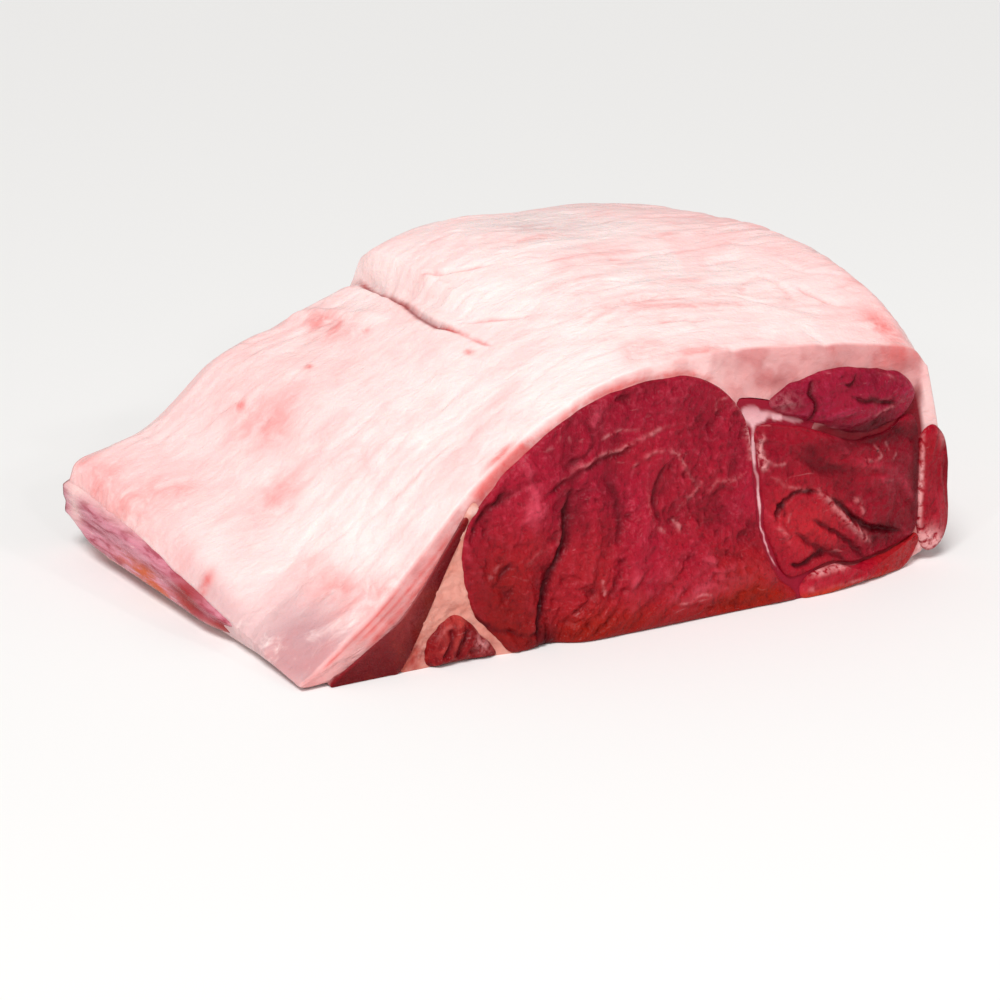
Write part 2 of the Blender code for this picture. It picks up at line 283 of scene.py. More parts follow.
@dataclass(frozen=True)
class Loin:
    """The outer form: lines of the section at the cut and at the far end, and the way from one to the other.

    Attributes:
        length: Length along the loin, of which face_belly and far_belly are how far the two ends stand out.
        top_at_cut: Outer line of the fat at the cut, from the tail rim to the chine.
        top_at_far: The same line at the far end.
        swell_at: Places along the line, 0 to 1, where the back swells by swell_by between the ends.
        side_swell: How far the chine side swells.
        chine_rise: How far the chine edge rises a little way behind the cut.
        far_round: How far the edge of the far end is rounded down.
        fold_s: Where the fold over the back lies. It starts fold_start from the cut, with a step of
            fold_step in height and a groove of fold_groove.
        chine_side: The line down the chine side, from under the fat to the underside.
        underside: Height of the underside of the fat.
        groove_s: Where the upright groove in the cut face starts, which leans by groove_lean, with its
            groove_width and groove_depth.
        low_at_cut: Lower corner of the tail side at the cut, and low_at_far at the far end. The underside
            rises to it from low_reach on, and it lifts by corner_lift towards the far end.
        table: Growth of the section's height, filled in at its first use.
    """

    length: float = 180.0
    face_belly: float = 11.0
    far_belly: float = 5.0
    top_at_cut: Points = (
        (-3, 1.5), (3, 7), (12, 13), (24, 21.5), (36, 32), (48, 43.5), (60, 55), (76, 67.5), (94, 77.5),
        (112, 84.5), (130, 88.5), (150, 90.5), (172, 90.5), (194, 89), (215, 87), (232, 84.5), (246, 81),
        (254, 73),
    )
    top_at_far: Points = (
        (-9, 27), (-5, 35.5), (8, 41.5), (22, 46), (37, 56), (50, 67), (64, 74.5), (76, 78), (88, 83.5),
        (99, 87.5), (110, 92), (124, 99), (150, 108.5), (174, 112.5), (200, 114), (224, 113), (246, 108),
        (257, 94),
    )
    swell_at: tuple[float, ...] = (0.42, 0.65, 0.80, 0.90, 1.0)
    swell_by: tuple[float, ...] = (0.0, 8.0, 6.5, 9.0, 14.0)
    side_swell: float = 6.0
    chine_rise: float = 4.5
    far_round: float = 4.0
    fold_s: float = 109.5
    fold_start: float = 62.0
    fold_step: float = 8.5
    fold_groove: float = 2.0
    chine_side: Points = ((259.5, 54), (262, 44), (262.5, 32), (263.5, 20), (262, 9), (255, 3))
    underside: float = 1.2
    groove_s: float = 88.0
    groove_lean: float = 0.18
    groove_width: float = 7.0
    groove_depth: float = 4.5
    low_at_cut: tuple[float, float] = (1, 0.9)
    low_at_far: tuple[float, float] = (-6, 3.0)
    low_reach: float = 52.0
    corner_lift: float = 7.0
    table: list[Array] = field(default_factory=list)

    def far_share(self, y: Array | float) -> Array | float:
        """Change of the section by y: 0.45 t + 0.55 sin(pi t / 2), with t the share of the length."""
        t = np.clip(y / self.length, 0, 1)
        return 0.45 * t + 0.55 * np.sin(0.5 * math.pi * t)

    def swell(self, y: Array | float) -> Array | float:
        """Swelling between the ends: sin(pi t) ^ 0.9, with t the share of the length."""
        return np.maximum(np.sin(math.pi * np.clip(y / self.length, 0, 1)), 0) ** 0.9

    def top_line(self, a: Array, y: float, folded: bool = True) -> Array:
        """Outer line of the fat at one station.

        The lines at the two ends are mixed by far_share, and the swelling, the rise of the chine edge, the
        rounding of the far end and the fold's step and groove are added.

        Args:
            a: Places on the line, 0 at the tail rim and 1 at the chine.
            y: The station.
            folded: Whether the fold is in.

        Returns:
            Points (s, z), one for each a.
        """
        share, swell = self.far_share(y), self.swell(y)
        line = spline(self.top_at_cut, a) * (1 - share) + spline(self.top_at_far, a) * share
        line[:, 1] += np.interp(a, self.swell_at, self.swell_by) * swell
        rise = self.chine_rise * smooth(y / 26) * (1 - smooth((y - 60) / 90))
        line[:, 1] += rise * smooth((a - 0.82) / 0.14)
        line[:, 0] += self.side_swell * swell * smooth((a - 0.80) / 0.2)
        line[:, 1] -= self.far_round * smooth((y - self.length + 14) / 14) ** 2 * smooth(a * 8)
        if folded:
            fold = smooth((y - self.fold_start) / (self.length - self.fold_start))
            past = line[:, 0] - self.fold_s
            line[:, 1] += self.fold_step * fold * smooth(past / 6) * (1 - smooth((past - 14) / 60))
            line[:, 1] -= self.fold_groove * fold**0.5 * np.exp(-((past / 3.0) ** 2))
        return line

    def growth(self, s: Array, y: Array | float) -> Array:
        """How much taller the section is at y than at the cut, read between stations of a table over s.

        Args:
            s: Places across the section.
            y: Stations, one for each s or one for all.

        Returns:
            Height at y over height at the cut.
        """
        if not self.table:
            a, over = np.linspace(0, 1, 200), np.arange(TABLE_FROM, TABLE_TO + TABLE_STEP, TABLE_STEP)
            heights = []
            for station in np.linspace(0, self.length, TABLE_STATIONS):
                line = self.top_line(a, float(station), False)
                heights.append(np.interp(over, line[:, 0], line[:, 1]))
            self.table.append(np.array(heights) / heights[0])
        table = self.table[0]
        u = (np.clip(s, TABLE_FROM, TABLE_TO) - TABLE_FROM) / TABLE_STEP
        v = np.broadcast_to(np.clip(y / self.length, 0, 1) * (TABLE_STATIONS - 1), u.shape)
        i, j = np.minimum(u.astype(int), table.shape[1] - 2), np.minimum(v.astype(int), TABLE_STATIONS - 2)
        f, g = u - i, v - j
        near = table[j, i] * (1 - f) + table[j, i + 1] * f
        return near * (1 - g) + (table[j + 1, i] * (1 - f) + table[j + 1, i + 1] * f) * g

    def carried(self, points: Array | Points, y: float) -> Array:
        """Section points of the cut, carried to station y: heights times the growth."""
        points = np.asarray(points, float)
        return np.stack([points[:, 0], points[:, 1] * self.growth(points[:, 0], y)], 1)

    def cut_out(self, s: Array, z: Array) -> Array:
        """How far the cut face stands out: a belly that grows downwards, less a groove of exp(-d^2) section.

        Args:
            s: Places across the section.
            z: Heights of them.

        Returns:
            Distances in front of the face's top edge.
        """
        across = 0.4 + 0.6 * smooth((s - 50) / 55) * (1 - smooth((s - 195) / 50))
        across = across - 0.45 * smooth((s - 225) / 40)
        height = np.clip(1 - z / 84.0, 0, 1)
        lean = (s - self.groove_s - self.groove_lean * z) / self.groove_width
        groove = np.exp(-(lean**2)) * (1 - smooth((z - 8) / 42))
        return self.face_belly * across * height**1.2 - self.groove_depth * groove

    def far_out(self, s: Array, z: Array) -> Array:
        """How far the far end stands out: a half wave over the height, fading to the tail."""
        return self.far_belly * np.sin(math.pi * np.clip(z / 105.0, 0.02, 1)) * smooth((s + 12) / 60)

    def low_corner(self, y: float) -> Array:
        """Where the tail side meets the underside at station y."""
        share = self.far_share(y)
        low = np.array(self.low_at_cut) * (1 - share) + np.array(self.low_at_far) * share
        low[1] += self.corner_lift * smooth((y - 150) / (self.length - 150))
        return low

    def outline(self, y: float, top: int, side: int, bottom: int, wall: int) -> Array:
        """Closed outer line of the section at station y: back, chine side, underside and tail side in turn.

        Args:
            y: The station.
            top: Points along the back.
            side: Points down the chine side.
            bottom: Points along the underside.
            wall: Points up the tail side.

        Returns:
            The loop of points (s, z).
        """
        t = np.linspace(0, 1, top)
        a = t - 0.055 * np.sin(2 * math.pi * (t - 10.0 / 17.0))
        back = self.top_line((a - a[0]) / (a[-1] - a[0]), y)
        down = self.carried(self.chine_side, y)
        down[:, 0] += self.side_swell * self.swell(y) * smooth((down[:, 1] - 15) / 60)
        down = spline(np.vstack([back[-1:], down]), np.linspace(0, 1, side + 1))[1:]
        low = self.low_corner(y)
        s = np.linspace(246, low[0], bottom)
        rise = smooth((self.low_reach - s) / (self.low_reach - low[0])) ** 1.5
        under = np.stack([s, self.underside + (low[1] - self.underside) * rise], 1)
        v = np.linspace(0, 1, wall + 2)[1:-1, None]
        up = low * (1 - v) + back[0] * v + np.hstack([-1.2 * np.sin(math.pi * v), 0 * v])
        return np.vstack([back, down, under, up])

    def stood(self, loop: Array, y: float, recess: float = 0.0, rim: float = 0.0) -> Array:
        """A loop of the section at station y, as points in space, moved along the loin near either end.

        Near the cut it moves by (1 - (y - rim) / 45)^2 of how far the cut face stands out there, less the
        recess, and near the far end likewise.

        Args:
            loop: Points (s, z).
            y: The station.
            recess: How far the cut ends lie behind those of the lean.
            rim: Width of the rounded edges of the ends.

        Returns:
            Points (s, y, z).
        """
        lead = min(1.0, max(0.0, 1 - (y - rim) / 45.0)) ** 2
        tail = min(1.0, max(0.0, 1 - (self.length - rim - y) / 45.0)) ** 2
        move = tail * (self.far_out(loop[:, 0], loop[:, 1]) - recess)
        move -= lead * (self.cut_out(loop[:, 0], loop[:, 1]) - recess)
        return np.stack([loop[:, 0], y + move, loop[:, 1]], 1)

    def out(self, end: End, s: Array, z: Array) -> Array:
        """How far one end stands out."""
        return self.cut_out(s, z) if end is End.CUT else self.far_out(s, z)


LOIN = Loin()


def build_mesh(name: str, points: Array, quads: Array, triangles: Array | None = None) -> Mesh:
    """A mesh in metres about the middle of the base, with its faces outwards.

    The faces' winding is turned if the volume, a sixth of the sum of the corner triple products, is negative.

    Args:
        name: Name of the mesh.
        points: Points (s, y, z) in millimetres.
        quads: Four point numbers for each face.
        triangles: Three point numbers for each further face.

    Returns:
        The mesh, smoothly shaded.
    """
    places = (points - CENTRE) * MM
    three = np.zeros((0, 3), int) if triangles is None else triangles
    halves = np.vstack([quads[:, [0, 1, 2]], quads[:, [0, 2, 3]], three])
    a, b, c = (places[halves[:, k]] for k in range(3))
    if np.sum(a * np.cross(b, c)) < 0:
        quads, three = quads[:, ::-1], three[:, ::-1]
    mesh = bpy.data.meshes.new(name)
    corners = np.concatenate([quads.ravel(), three.ravel()]).astype(np.int32)
    counts = np.concatenate([np.full(len(quads), 4), np.full(len(three), 3)])
    mesh.vertices.add(len(places))
    mesh.vertices.foreach_set("co", places.astype(np.float32).ravel())
    mesh.loops.add(len(corners))
    mesh.loops.foreach_set("vertex_index", corners)
    mesh.polygons.add(len(counts))
    mesh.polygons.foreach_set("loop_start", np.concatenate([[0], np.cumsum(counts)[:-1]]).astype(np.int32))
    mesh.update(calc_edges=True)
    mesh.validate()
    mesh.shade_smooth()
    return mesh


def rows_of(mesh: Mesh) -> Array:
    """A mesh's points (s, y, z) in millimetres."""
    flat = np.empty(len(mesh.vertices) * 3, np.float32)
    mesh.vertices.foreach_get("co", flat)
    return flat.reshape(-1, 3) / MM + CENTRE


def paint_masks(mesh: Mesh, masks: Masks) -> None:
    """Stores masks with a mesh, one number for each point.

    Args:
        mesh: The mesh.
        masks: Arrays by name, clipped here to 0..1.
    """
    for name, values in masks.items():
        layer = mesh.attributes.new(name, "FLOAT", "POINT")
        layer.data.foreach_set("value", np.clip(values, 0, 1).astype(np.float32))


def tube_quads(rows: int, around: int, first: int = 0) -> Array:
    """Faces between neighbouring rows of a closed tube, numbered row by row.

    Args:
        rows: How many rows.
        around: Points in a row.
        first: Number of the first point.

    Returns:
        Four point numbers for each face.
    """
    k, p = np.meshgrid(np.arange(rows - 1), np.arange(around), indexing="ij")
    k, p = k.ravel() * around, p.ravel()
    q = (p + 1) % around
    return first + np.stack([k + p, k + around + p, k + around + q, k + q], 1)


def closed_tube(name: str, rows: list[Array]) -> Mesh:
    """A closed tube through rows of points, with each end drawn together to the middle of its last row.

    Args:
        name: Name of the mesh.
        rows: Loops of points (s, y, z), all of one length.

    Returns:
        The mesh.
    """
    around, count = len(rows[0]), len(rows)
    points = np.vstack([*rows, rows[0].mean(axis=0), rows[-1].mean(axis=0)])
    p = np.arange(around)
    q = (p + 1) % around
    start, last = count * around, (count - 1) * around
    near = np.stack([np.full(around, start), p, q], 1)
    far = np.stack([np.full(around, start + 1), last + q, last + p], 1)
    return build_mesh(name, points, tube_quads(count, around), np.vstack([near, far]))


def carve(mesh: Mesh, beds: list[Mesh]) -> Mesh:
    """Cuts beds out of a closed mesh and keeps the largest piece that is left.

    Args:
        mesh: The mesh to cut.
        beds: Closed meshes to cut away.

    Returns:
        The carved mesh.
    """
    solid = bpy.data.objects.new("uncut", mesh)
    bpy.context.scene.collection.objects.link(solid)
    helpers = []
    for bed in beds:
        helper = bpy.data.objects.new("bed", bed)
        bpy.context.scene.collection.objects.link(helper)
        helpers.append(helper)
        cut = solid.modifiers.new("bed", "BOOLEAN")
        cut.operation = "DIFFERENCE"
        cut.solver = "MANIFOLD"
        cut.object = helper
    carved = bpy.data.meshes.new_from_object(solid.evaluated_get(bpy.context.evaluated_depsgraph_get()))
    for used in (solid, *helpers):
        bpy.data.objects.remove(used)
    return largest_part(carved)


def largest_part(mesh: Mesh) -> Mesh:
    """Keeps the connected part of a mesh that has most points.

    Each point takes the lowest number among its neighbours until none changes, so a part ends up with one
    number.

    Args:
        mesh: The mesh.

    Returns:
        A mesh of that part alone, with its faces as triangles.
    """
    mesh.calc_loop_triangles()
    faces = np.empty(len(mesh.loop_triangles) * 3, np.int32)
    mesh.loop_triangles.foreach_get("vertices", faces)
    faces = faces.reshape(-1, 3)
    label = np.arange(len(mesh.vertices))
    while True:
        lowest = label[faces].min(axis=1)
        fresh = label.copy()
        for k in range(3):
            np.minimum.at(fresh, faces[:, k], lowest)
        fresh = fresh[fresh]
        if np.array_equal(fresh, label):
            break
        label = fresh
    kept = np.bincount(label[faces[:, 0]]).argmax()
    faces = faces[label[faces[:, 0]] == kept]
    used, renumbered = np.unique(faces, return_inverse=True)
    return build_mesh(mesh.name, rows_of(mesh)[used], np.zeros((0, 4), int), renumbered.reshape(-1, 3))


class Paint:
    """A material while it is made: adds shading nodes and joins them."""

    def __init__(self, name: str) -> None:
        """Starts with a plain shader.

        Args:
            name: Name of the material.
        """
        self.material = bpy.data.materials.new(name)
        self.material.use_nodes = True
        self.tree = self.material.node_tree
        self.shader = self.tree.nodes["Principled BSDF"]

    def set(self, node: bpy.types.Node, socket: str | int, value: object) -> None:
        """Gives a node's input a number, a colour or another node's output.

        Args:
            node: The node.
            socket: The input's name or number.
            value: What goes in.
        """
        if isinstance(value, Socket):
            self.tree.links.new(value, node.inputs[socket])
        else:
            node.inputs[socket].default_value = value

    def mask(self, name: str) -> Socket:
        """A mask that is stored with the mesh."""
        node = self.tree.nodes.new("ShaderNodeAttribute")
        node.attribute_name = name
        return node.outputs["Fac"]

    def place(self, scale: Triple = (1, 1, 1), turn: Triple = (0, 0, 0)) -> Socket:
        """The piece's own coordinates in metres, stretched and turned.

        Args:
            scale: Scale along each axis.
            turn: Turn about each axis, in degrees.

        Returns:
            The vector.
        """
        own = self.tree.nodes.new("ShaderNodeTexCoord")
        node = self.tree.nodes.new("ShaderNodeMapping")
        self.set(node, "Vector", own.outputs["Object"])
        self.set(node, "Scale", scale)
        self.set(node, "Rotation", tuple(math.radians(t) for t in turn))
        return node.outputs["Vector"]

    def noise(self, place: Socket, scale: float, detail: float = 4, warp: float = 0.0) -> Socket:
        """Cloudy noise.

        Args:
            place: Where it is read.
            scale: Clouds to a metre.
            detail: Layers of finer noise.
            warp: How much it is twisted.

        Returns:
            Values about 0.5.
        """
        node = self.tree.nodes.new("ShaderNodeTexNoise")
        self.set(node, "Vector", place)
        self.set(node, "Scale", scale)
        self.set(node, "Detail", detail)
        self.set(node, "Roughness", 0.6)
        self.set(node, "Distortion", warp)
        return node.outputs["Fac"]

    def band(self, value: Socket, low: float, high: float, top: float = 1.0) -> Socket:
        """A smooth step from 0 at low to top at high.

        Args:
            value: The number.
            low: Where the step starts.
            high: Where it ends.
            top: Its height.

        Returns:
            The stepped number.
        """
        node = self.tree.nodes.new("ShaderNodeMapRange")
        node.interpolation_type = "SMOOTHSTEP"
        self.set(node, "Value", value)
        self.set(node, "From Min", low)
        self.set(node, "From Max", high)
        self.set(node, "To Max", top)
        return node.outputs["Result"]

    def sum(self, how: str, first: object, second: object) -> Socket:
        """Two numbers joined by one step of arithmetic, kept within 0 and 1.

        Args:
            how: Name of the step.
            first: First number.
            second: Second number.

        Returns:
            The result.
        """
        node = self.tree.nodes.new("ShaderNodeMath")
        node.operation = how
        node.use_clamp = True
        self.set(node, 0, first)
        self.set(node, 1, second)
        return node.outputs[0]

    def mix(self, share: object, first: object, second: object) -> Socket:
        """One colour turning into another.

        Args:
            share: How much of the second.
            first: First colour.
            second: Second colour.

        Returns:
            The mixed colour.
        """
        node = self.tree.nodes.new("ShaderNodeMix")
        node.data_type = "RGBA"
        self.set(node, "Factor", share)
        self.set(node, 6, first)
        self.set(node, 7, second)
        return node.outputs[2]

    def bump(self, height: Socket, depth: float, under: Socket | None = None) -> Socket:
        """Relief too fine for the mesh.

        Args:
            height: Height, 0 to 1.
            depth: What a height of 1 stands for, in metres.
            under: Relief that it lies on.

        Returns:
            The bent normal.
        """
        node = self.tree.nodes.new("ShaderNodeBump")
        self.set(node, "Height", height)
        self.set(node, "Distance", depth)
        if under is not None:
            self.set(node, "Normal", under)
        return node.outputs["Normal"]


@dataclass(frozen=True)
class LeanFinish:
    """Wet cut lean: crimson that warms to brown in places, with painted shade in creases, painted highlight
    on ridges and pale threads of fat.
    """

    name: str
    flesh: Colour
    warm: Colour
    # Painted highlight on the ridges and fine bumps of the cut faces, and rosy streaks along the side.
    rosy: Colour
    pale: Colour = (232, 165, 165)
    # Painted shade in creases, hollows and pits, and dark grain and streaks.
    deep: Colour = (78, 4, 14)
    threads: float = 0.2

    def material(self) -> bpy.types.Material:
        """Base colour from masks and noise, with painted highlights and shade on the relief; roughness and
        relief from finer noise.
        """
        paint = Paint(self.name)
        own = paint.place()
        cloud = paint.noise(own, 55, 5, 0.6)
        fine = paint.noise(own, 420, 4, 0.3)
        # Painted highlight: rosy on the relief's ridges by mask, and on the tops of the fine bumps.
        rosy = paint.sum("MULTIPLY", paint.mask("rosy"), paint.band(cloud, 0.3, 0.6))
        rosy = paint.sum("ADD", rosy, paint.band(fine, 0.50, 0.78, 0.45))
        colour = paint.mix(rosy, tint(*self.flesh), tint(*self.rosy))
        warm = paint.sum("ADD", paint.mask("warm"), paint.band(paint.noise(own, 30, 3), 0.55, 0.8, 0.25))
        colour = paint.mix(warm, colour, tint(*self.warm))
        grain = paint.noise(paint.place((1, 1, 0.35), (0, 24, 0)), 700, 3, 0.2)
        colour = paint.mix(paint.band(grain, 0.50, 0.72, 0.30), colour, tint(*self.deep))
        # Painted shade in the pits of the fine bumps.
        colour = paint.mix(paint.band(fine, 0.46, 0.24, 0.55), colour, tint(*self.deep))
        strands = paint.noise(paint.place((0.22, 1, 1), (0, -24, 0)), 260, 3, 1.2)
        colour = paint.mix(paint.band(strands, 0.66, 0.76, self.threads), colour, tint(*self.pale))
        # The deep mask: painted shade in creases, hollows, grooves and under overhangs, with darker patches
        # and streaks of flesh.
        colour = paint.mix(paint.mask("deep"), colour, tint(*self.deep))
        sinew = paint.sum("MULTIPLY", paint.mask("pale"), paint.band(fine, 0.36, 0.58))
        colour = paint.mix(sinew, colour, tint(*self.pale))
        shader = paint.shader
        paint.set(shader, "Base Color", colour)
        paint.set(shader, "Roughness", paint.band(cloud, 0.0, 0.9, 0.6))
        paint.set(shader, "Specular IOR Level", 0.04)
        paint.set(shader, "Coat Weight", 0.16)
        paint.set(shader, "Coat Roughness", 0.15)
        paint.set(shader, "Subsurface Weight", 0.1)
        paint.set(shader, "Subsurface Radius", (0.004, 0.0006, 0.0006))
        paint.set(shader, "Subsurface Scale", 0.4)
        low = paint.bump(fine, 0.0009)
        skin = paint.bump(grain, 0.00035, low)
        paint.set(shader, "Normal", skin)
        paint.set(shader, "Coat Normal", skin)
        return paint.material


@dataclass(frozen=True)
class FatFinish:
    """Moist fat: nearly white with a rosy bloom, threaded with pink, redder where blood has soaked in."""

    name: str
    white: Colour = (253, 226, 223)
    rosy: Colour = (251, 202, 200)
    blood: Colour = (226, 96, 92)
    lilac: Colour = (192, 140, 144)
    cut: Colour = (188, 112, 112)
    # Painted shade of the cap's fold crease and of the gaps between its muscles; the seam gives its own red
    # here.
    deep: Colour = (118, 12, 26)
    cream: Colour = (255, 241, 235)
    rough: float = 0.65

    def material(self) -> bpy.types.Material:
        """Base colour from masks and noise, roughness and relief from finer noise."""
        paint = Paint(self.name)
        own = paint.place()
        cloud = paint.noise(own, 26, 6, 0.8)
        streak = paint.noise(paint.place((0.4, 1, 1), (0, 0, 8)), 95, 4, 0.8)
        fine = paint.noise(own, 520, 4, 0.4)
        bloom = paint.sum("MULTIPLY", paint.mask("bloom"), 0.75)
        bloom = paint.sum("ADD", bloom, paint.band(cloud, 0.42, 0.72, 0.8))
        colour = paint.mix(bloom, tint(*self.white), tint(*self.rosy))
        colour = paint.mix(paint.band(streak, 0.54, 0.76, 0.32), colour, tint(*self.rosy))
        colour = paint.mix(paint.band(streak, 0.46, 0.26, 0.32), colour, tint(*self.cream))
        ragged = paint.band(paint.noise(own, 110, 6, 0.6), 0.2, 0.7)
        blood = paint.sum("MULTIPLY", paint.mask("blood"), ragged)
        lilac = paint.sum("MULTIPLY", paint.mask("lilac"), paint.band(streak, 0.2, 0.5))
        colour = paint.mix(lilac, colour, tint(*self.lilac))
        cut = paint.mix(paint.band(cloud, 0.4, 0.7, 0.35), tint(*self.cut), tint(*self.rosy))
        colour = paint.mix(paint.mask("cut"), colour, cut)
        colour = paint.mix(blood, colour, tint(*self.blood))
        # On the cap the deep mask is painted shade in the fold's crease and the gaps between muscles; on the
        # seam it is the seam's own red.
        colour = paint.mix(paint.mask("deep"), colour, tint(*self.deep))
        shader = paint.shader
        paint.set(shader, "Base Color", colour)
        paint.set(shader, "Roughness", paint.band(cloud, 0.1, 0.9, self.rough))
        paint.set(shader, "Specular IOR Level", 0.12)
        paint.set(shader, "Subsurface Weight", 0.2)
        paint.set(shader, "Subsurface Radius", (0.008, 0.004, 0.003))
        paint.set(shader, "Subsurface Scale", 0.5)
        low = paint.bump(paint.noise(paint.place((0.5, 1, 1), (0, 0, 8)), 210, 4, 0.5), 0.0007)
        paint.set(shader, "Normal", paint.bump(fine, 0.00025, low))
        return paint.material


@dataclass(frozen=True)
class SilverskinFinish:
    """Silverskin over flank: lilac and sheer, with streaks of red flesh, rusty patches and raw cut ends."""

    name: str
    skin: Colour = (212, 136, 152)
    flesh: Colour = (158, 52, 72)
    lump: Colour = (158, 44, 46)
    rust: Colour = (200, 96, 62)
    pale: Colour = (242, 200, 196)
    raw: Colour = (118, 8, 18)
    brown: Colour = (140, 38, 28)

    def material(self) -> bpy.types.Material:
        """Base colour from masks and streaks that run along the loin."""
        paint = Paint(self.name)
        own = paint.place()
        streak = paint.noise(paint.place((1, 0.2, 1.4)), 330, 5, 0.35)
        colour = paint.mix(paint.band(streak, 0.4, 0.66, 0.85), tint(*self.skin), tint(*self.flesh))
        colour = paint.mix(paint.mask("deep"), colour, tint(*self.lump))
        warm = paint.sum("MULTIPLY", paint.mask("warm"), paint.band(streak, 0.34, 0.56))
        colour = paint.mix(warm, colour, tint(*self.rust))
        colour = paint.mix(paint.mask("pale"), colour, tint(*self.pale))
        colour = paint.mix(paint.band(streak, 0.38, 0.26, 0.5), colour, tint(*self.pale))
        cloud = paint.noise(own, 60, 4, 0.5)
        cut = paint.mix(paint.band(cloud, 0.4, 0.65, 0.7), tint(*self.raw), tint(*self.brown))
        colour = paint.mix(paint.mask("cut"), colour, cut)
        shader = paint.shader
        paint.set(shader, "Base Color", colour)
        paint.set(shader, "Roughness", paint.band(streak, 0.1, 0.9, 0.6))
        paint.set(shader, "Specular IOR Level", 0.12)
        paint.set(shader, "Subsurface Weight", 0.12)
        paint.set(shader, "Subsurface Radius", (0.006, 0.002, 0.002))
        paint.set(shader, "Subsurface Scale", 0.4)
        low = paint.bump(streak, 0.0008)
        paint.set(shader, "Normal", paint.bump(paint.noise(own, 500, 4), 0.0003, low))
        return paint.material


def keep_inside(mesh: Mesh) -> None:
    """Holds a mesh's points within the box of the solids, so that its relief adds nothing to the size.

    Args:
        mesh: The mesh, in metres.
    """
    flat = np.empty(len(mesh.vertices) * 3, np.float32)
    mesh.vertices.foreach_get("co", flat)
    held = np.clip(flat.reshape(-1, 3), np.array(LOWEST, np.float32), np.array(HIGHEST, np.float32))
    mesh.vertices.foreach_set("co", held.ravel())
    mesh.update()


def dress(mesh: Mesh, name: str, material: bpy.types.Material) -> bpy.types.Object:
    """Makes a finished piece of a mesh: named, coloured, and standing for its solid.

    Args:
        mesh: The mesh.
        name: Name of the solid that it stands for.
        material: Its material.

    Returns:
        The piece.
    """
    keep_inside(mesh)
    mesh.materials.clear()
    mesh.materials.append(material)
    piece = bpy.data.objects.new(f"{name}_dressed", mesh)
    bpy.context.scene.collection.objects.link(piece)
    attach(piece, "root")
    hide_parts(name)
    LOG.info("%s: %d faces", name, len(mesh.polygons))
    return piece


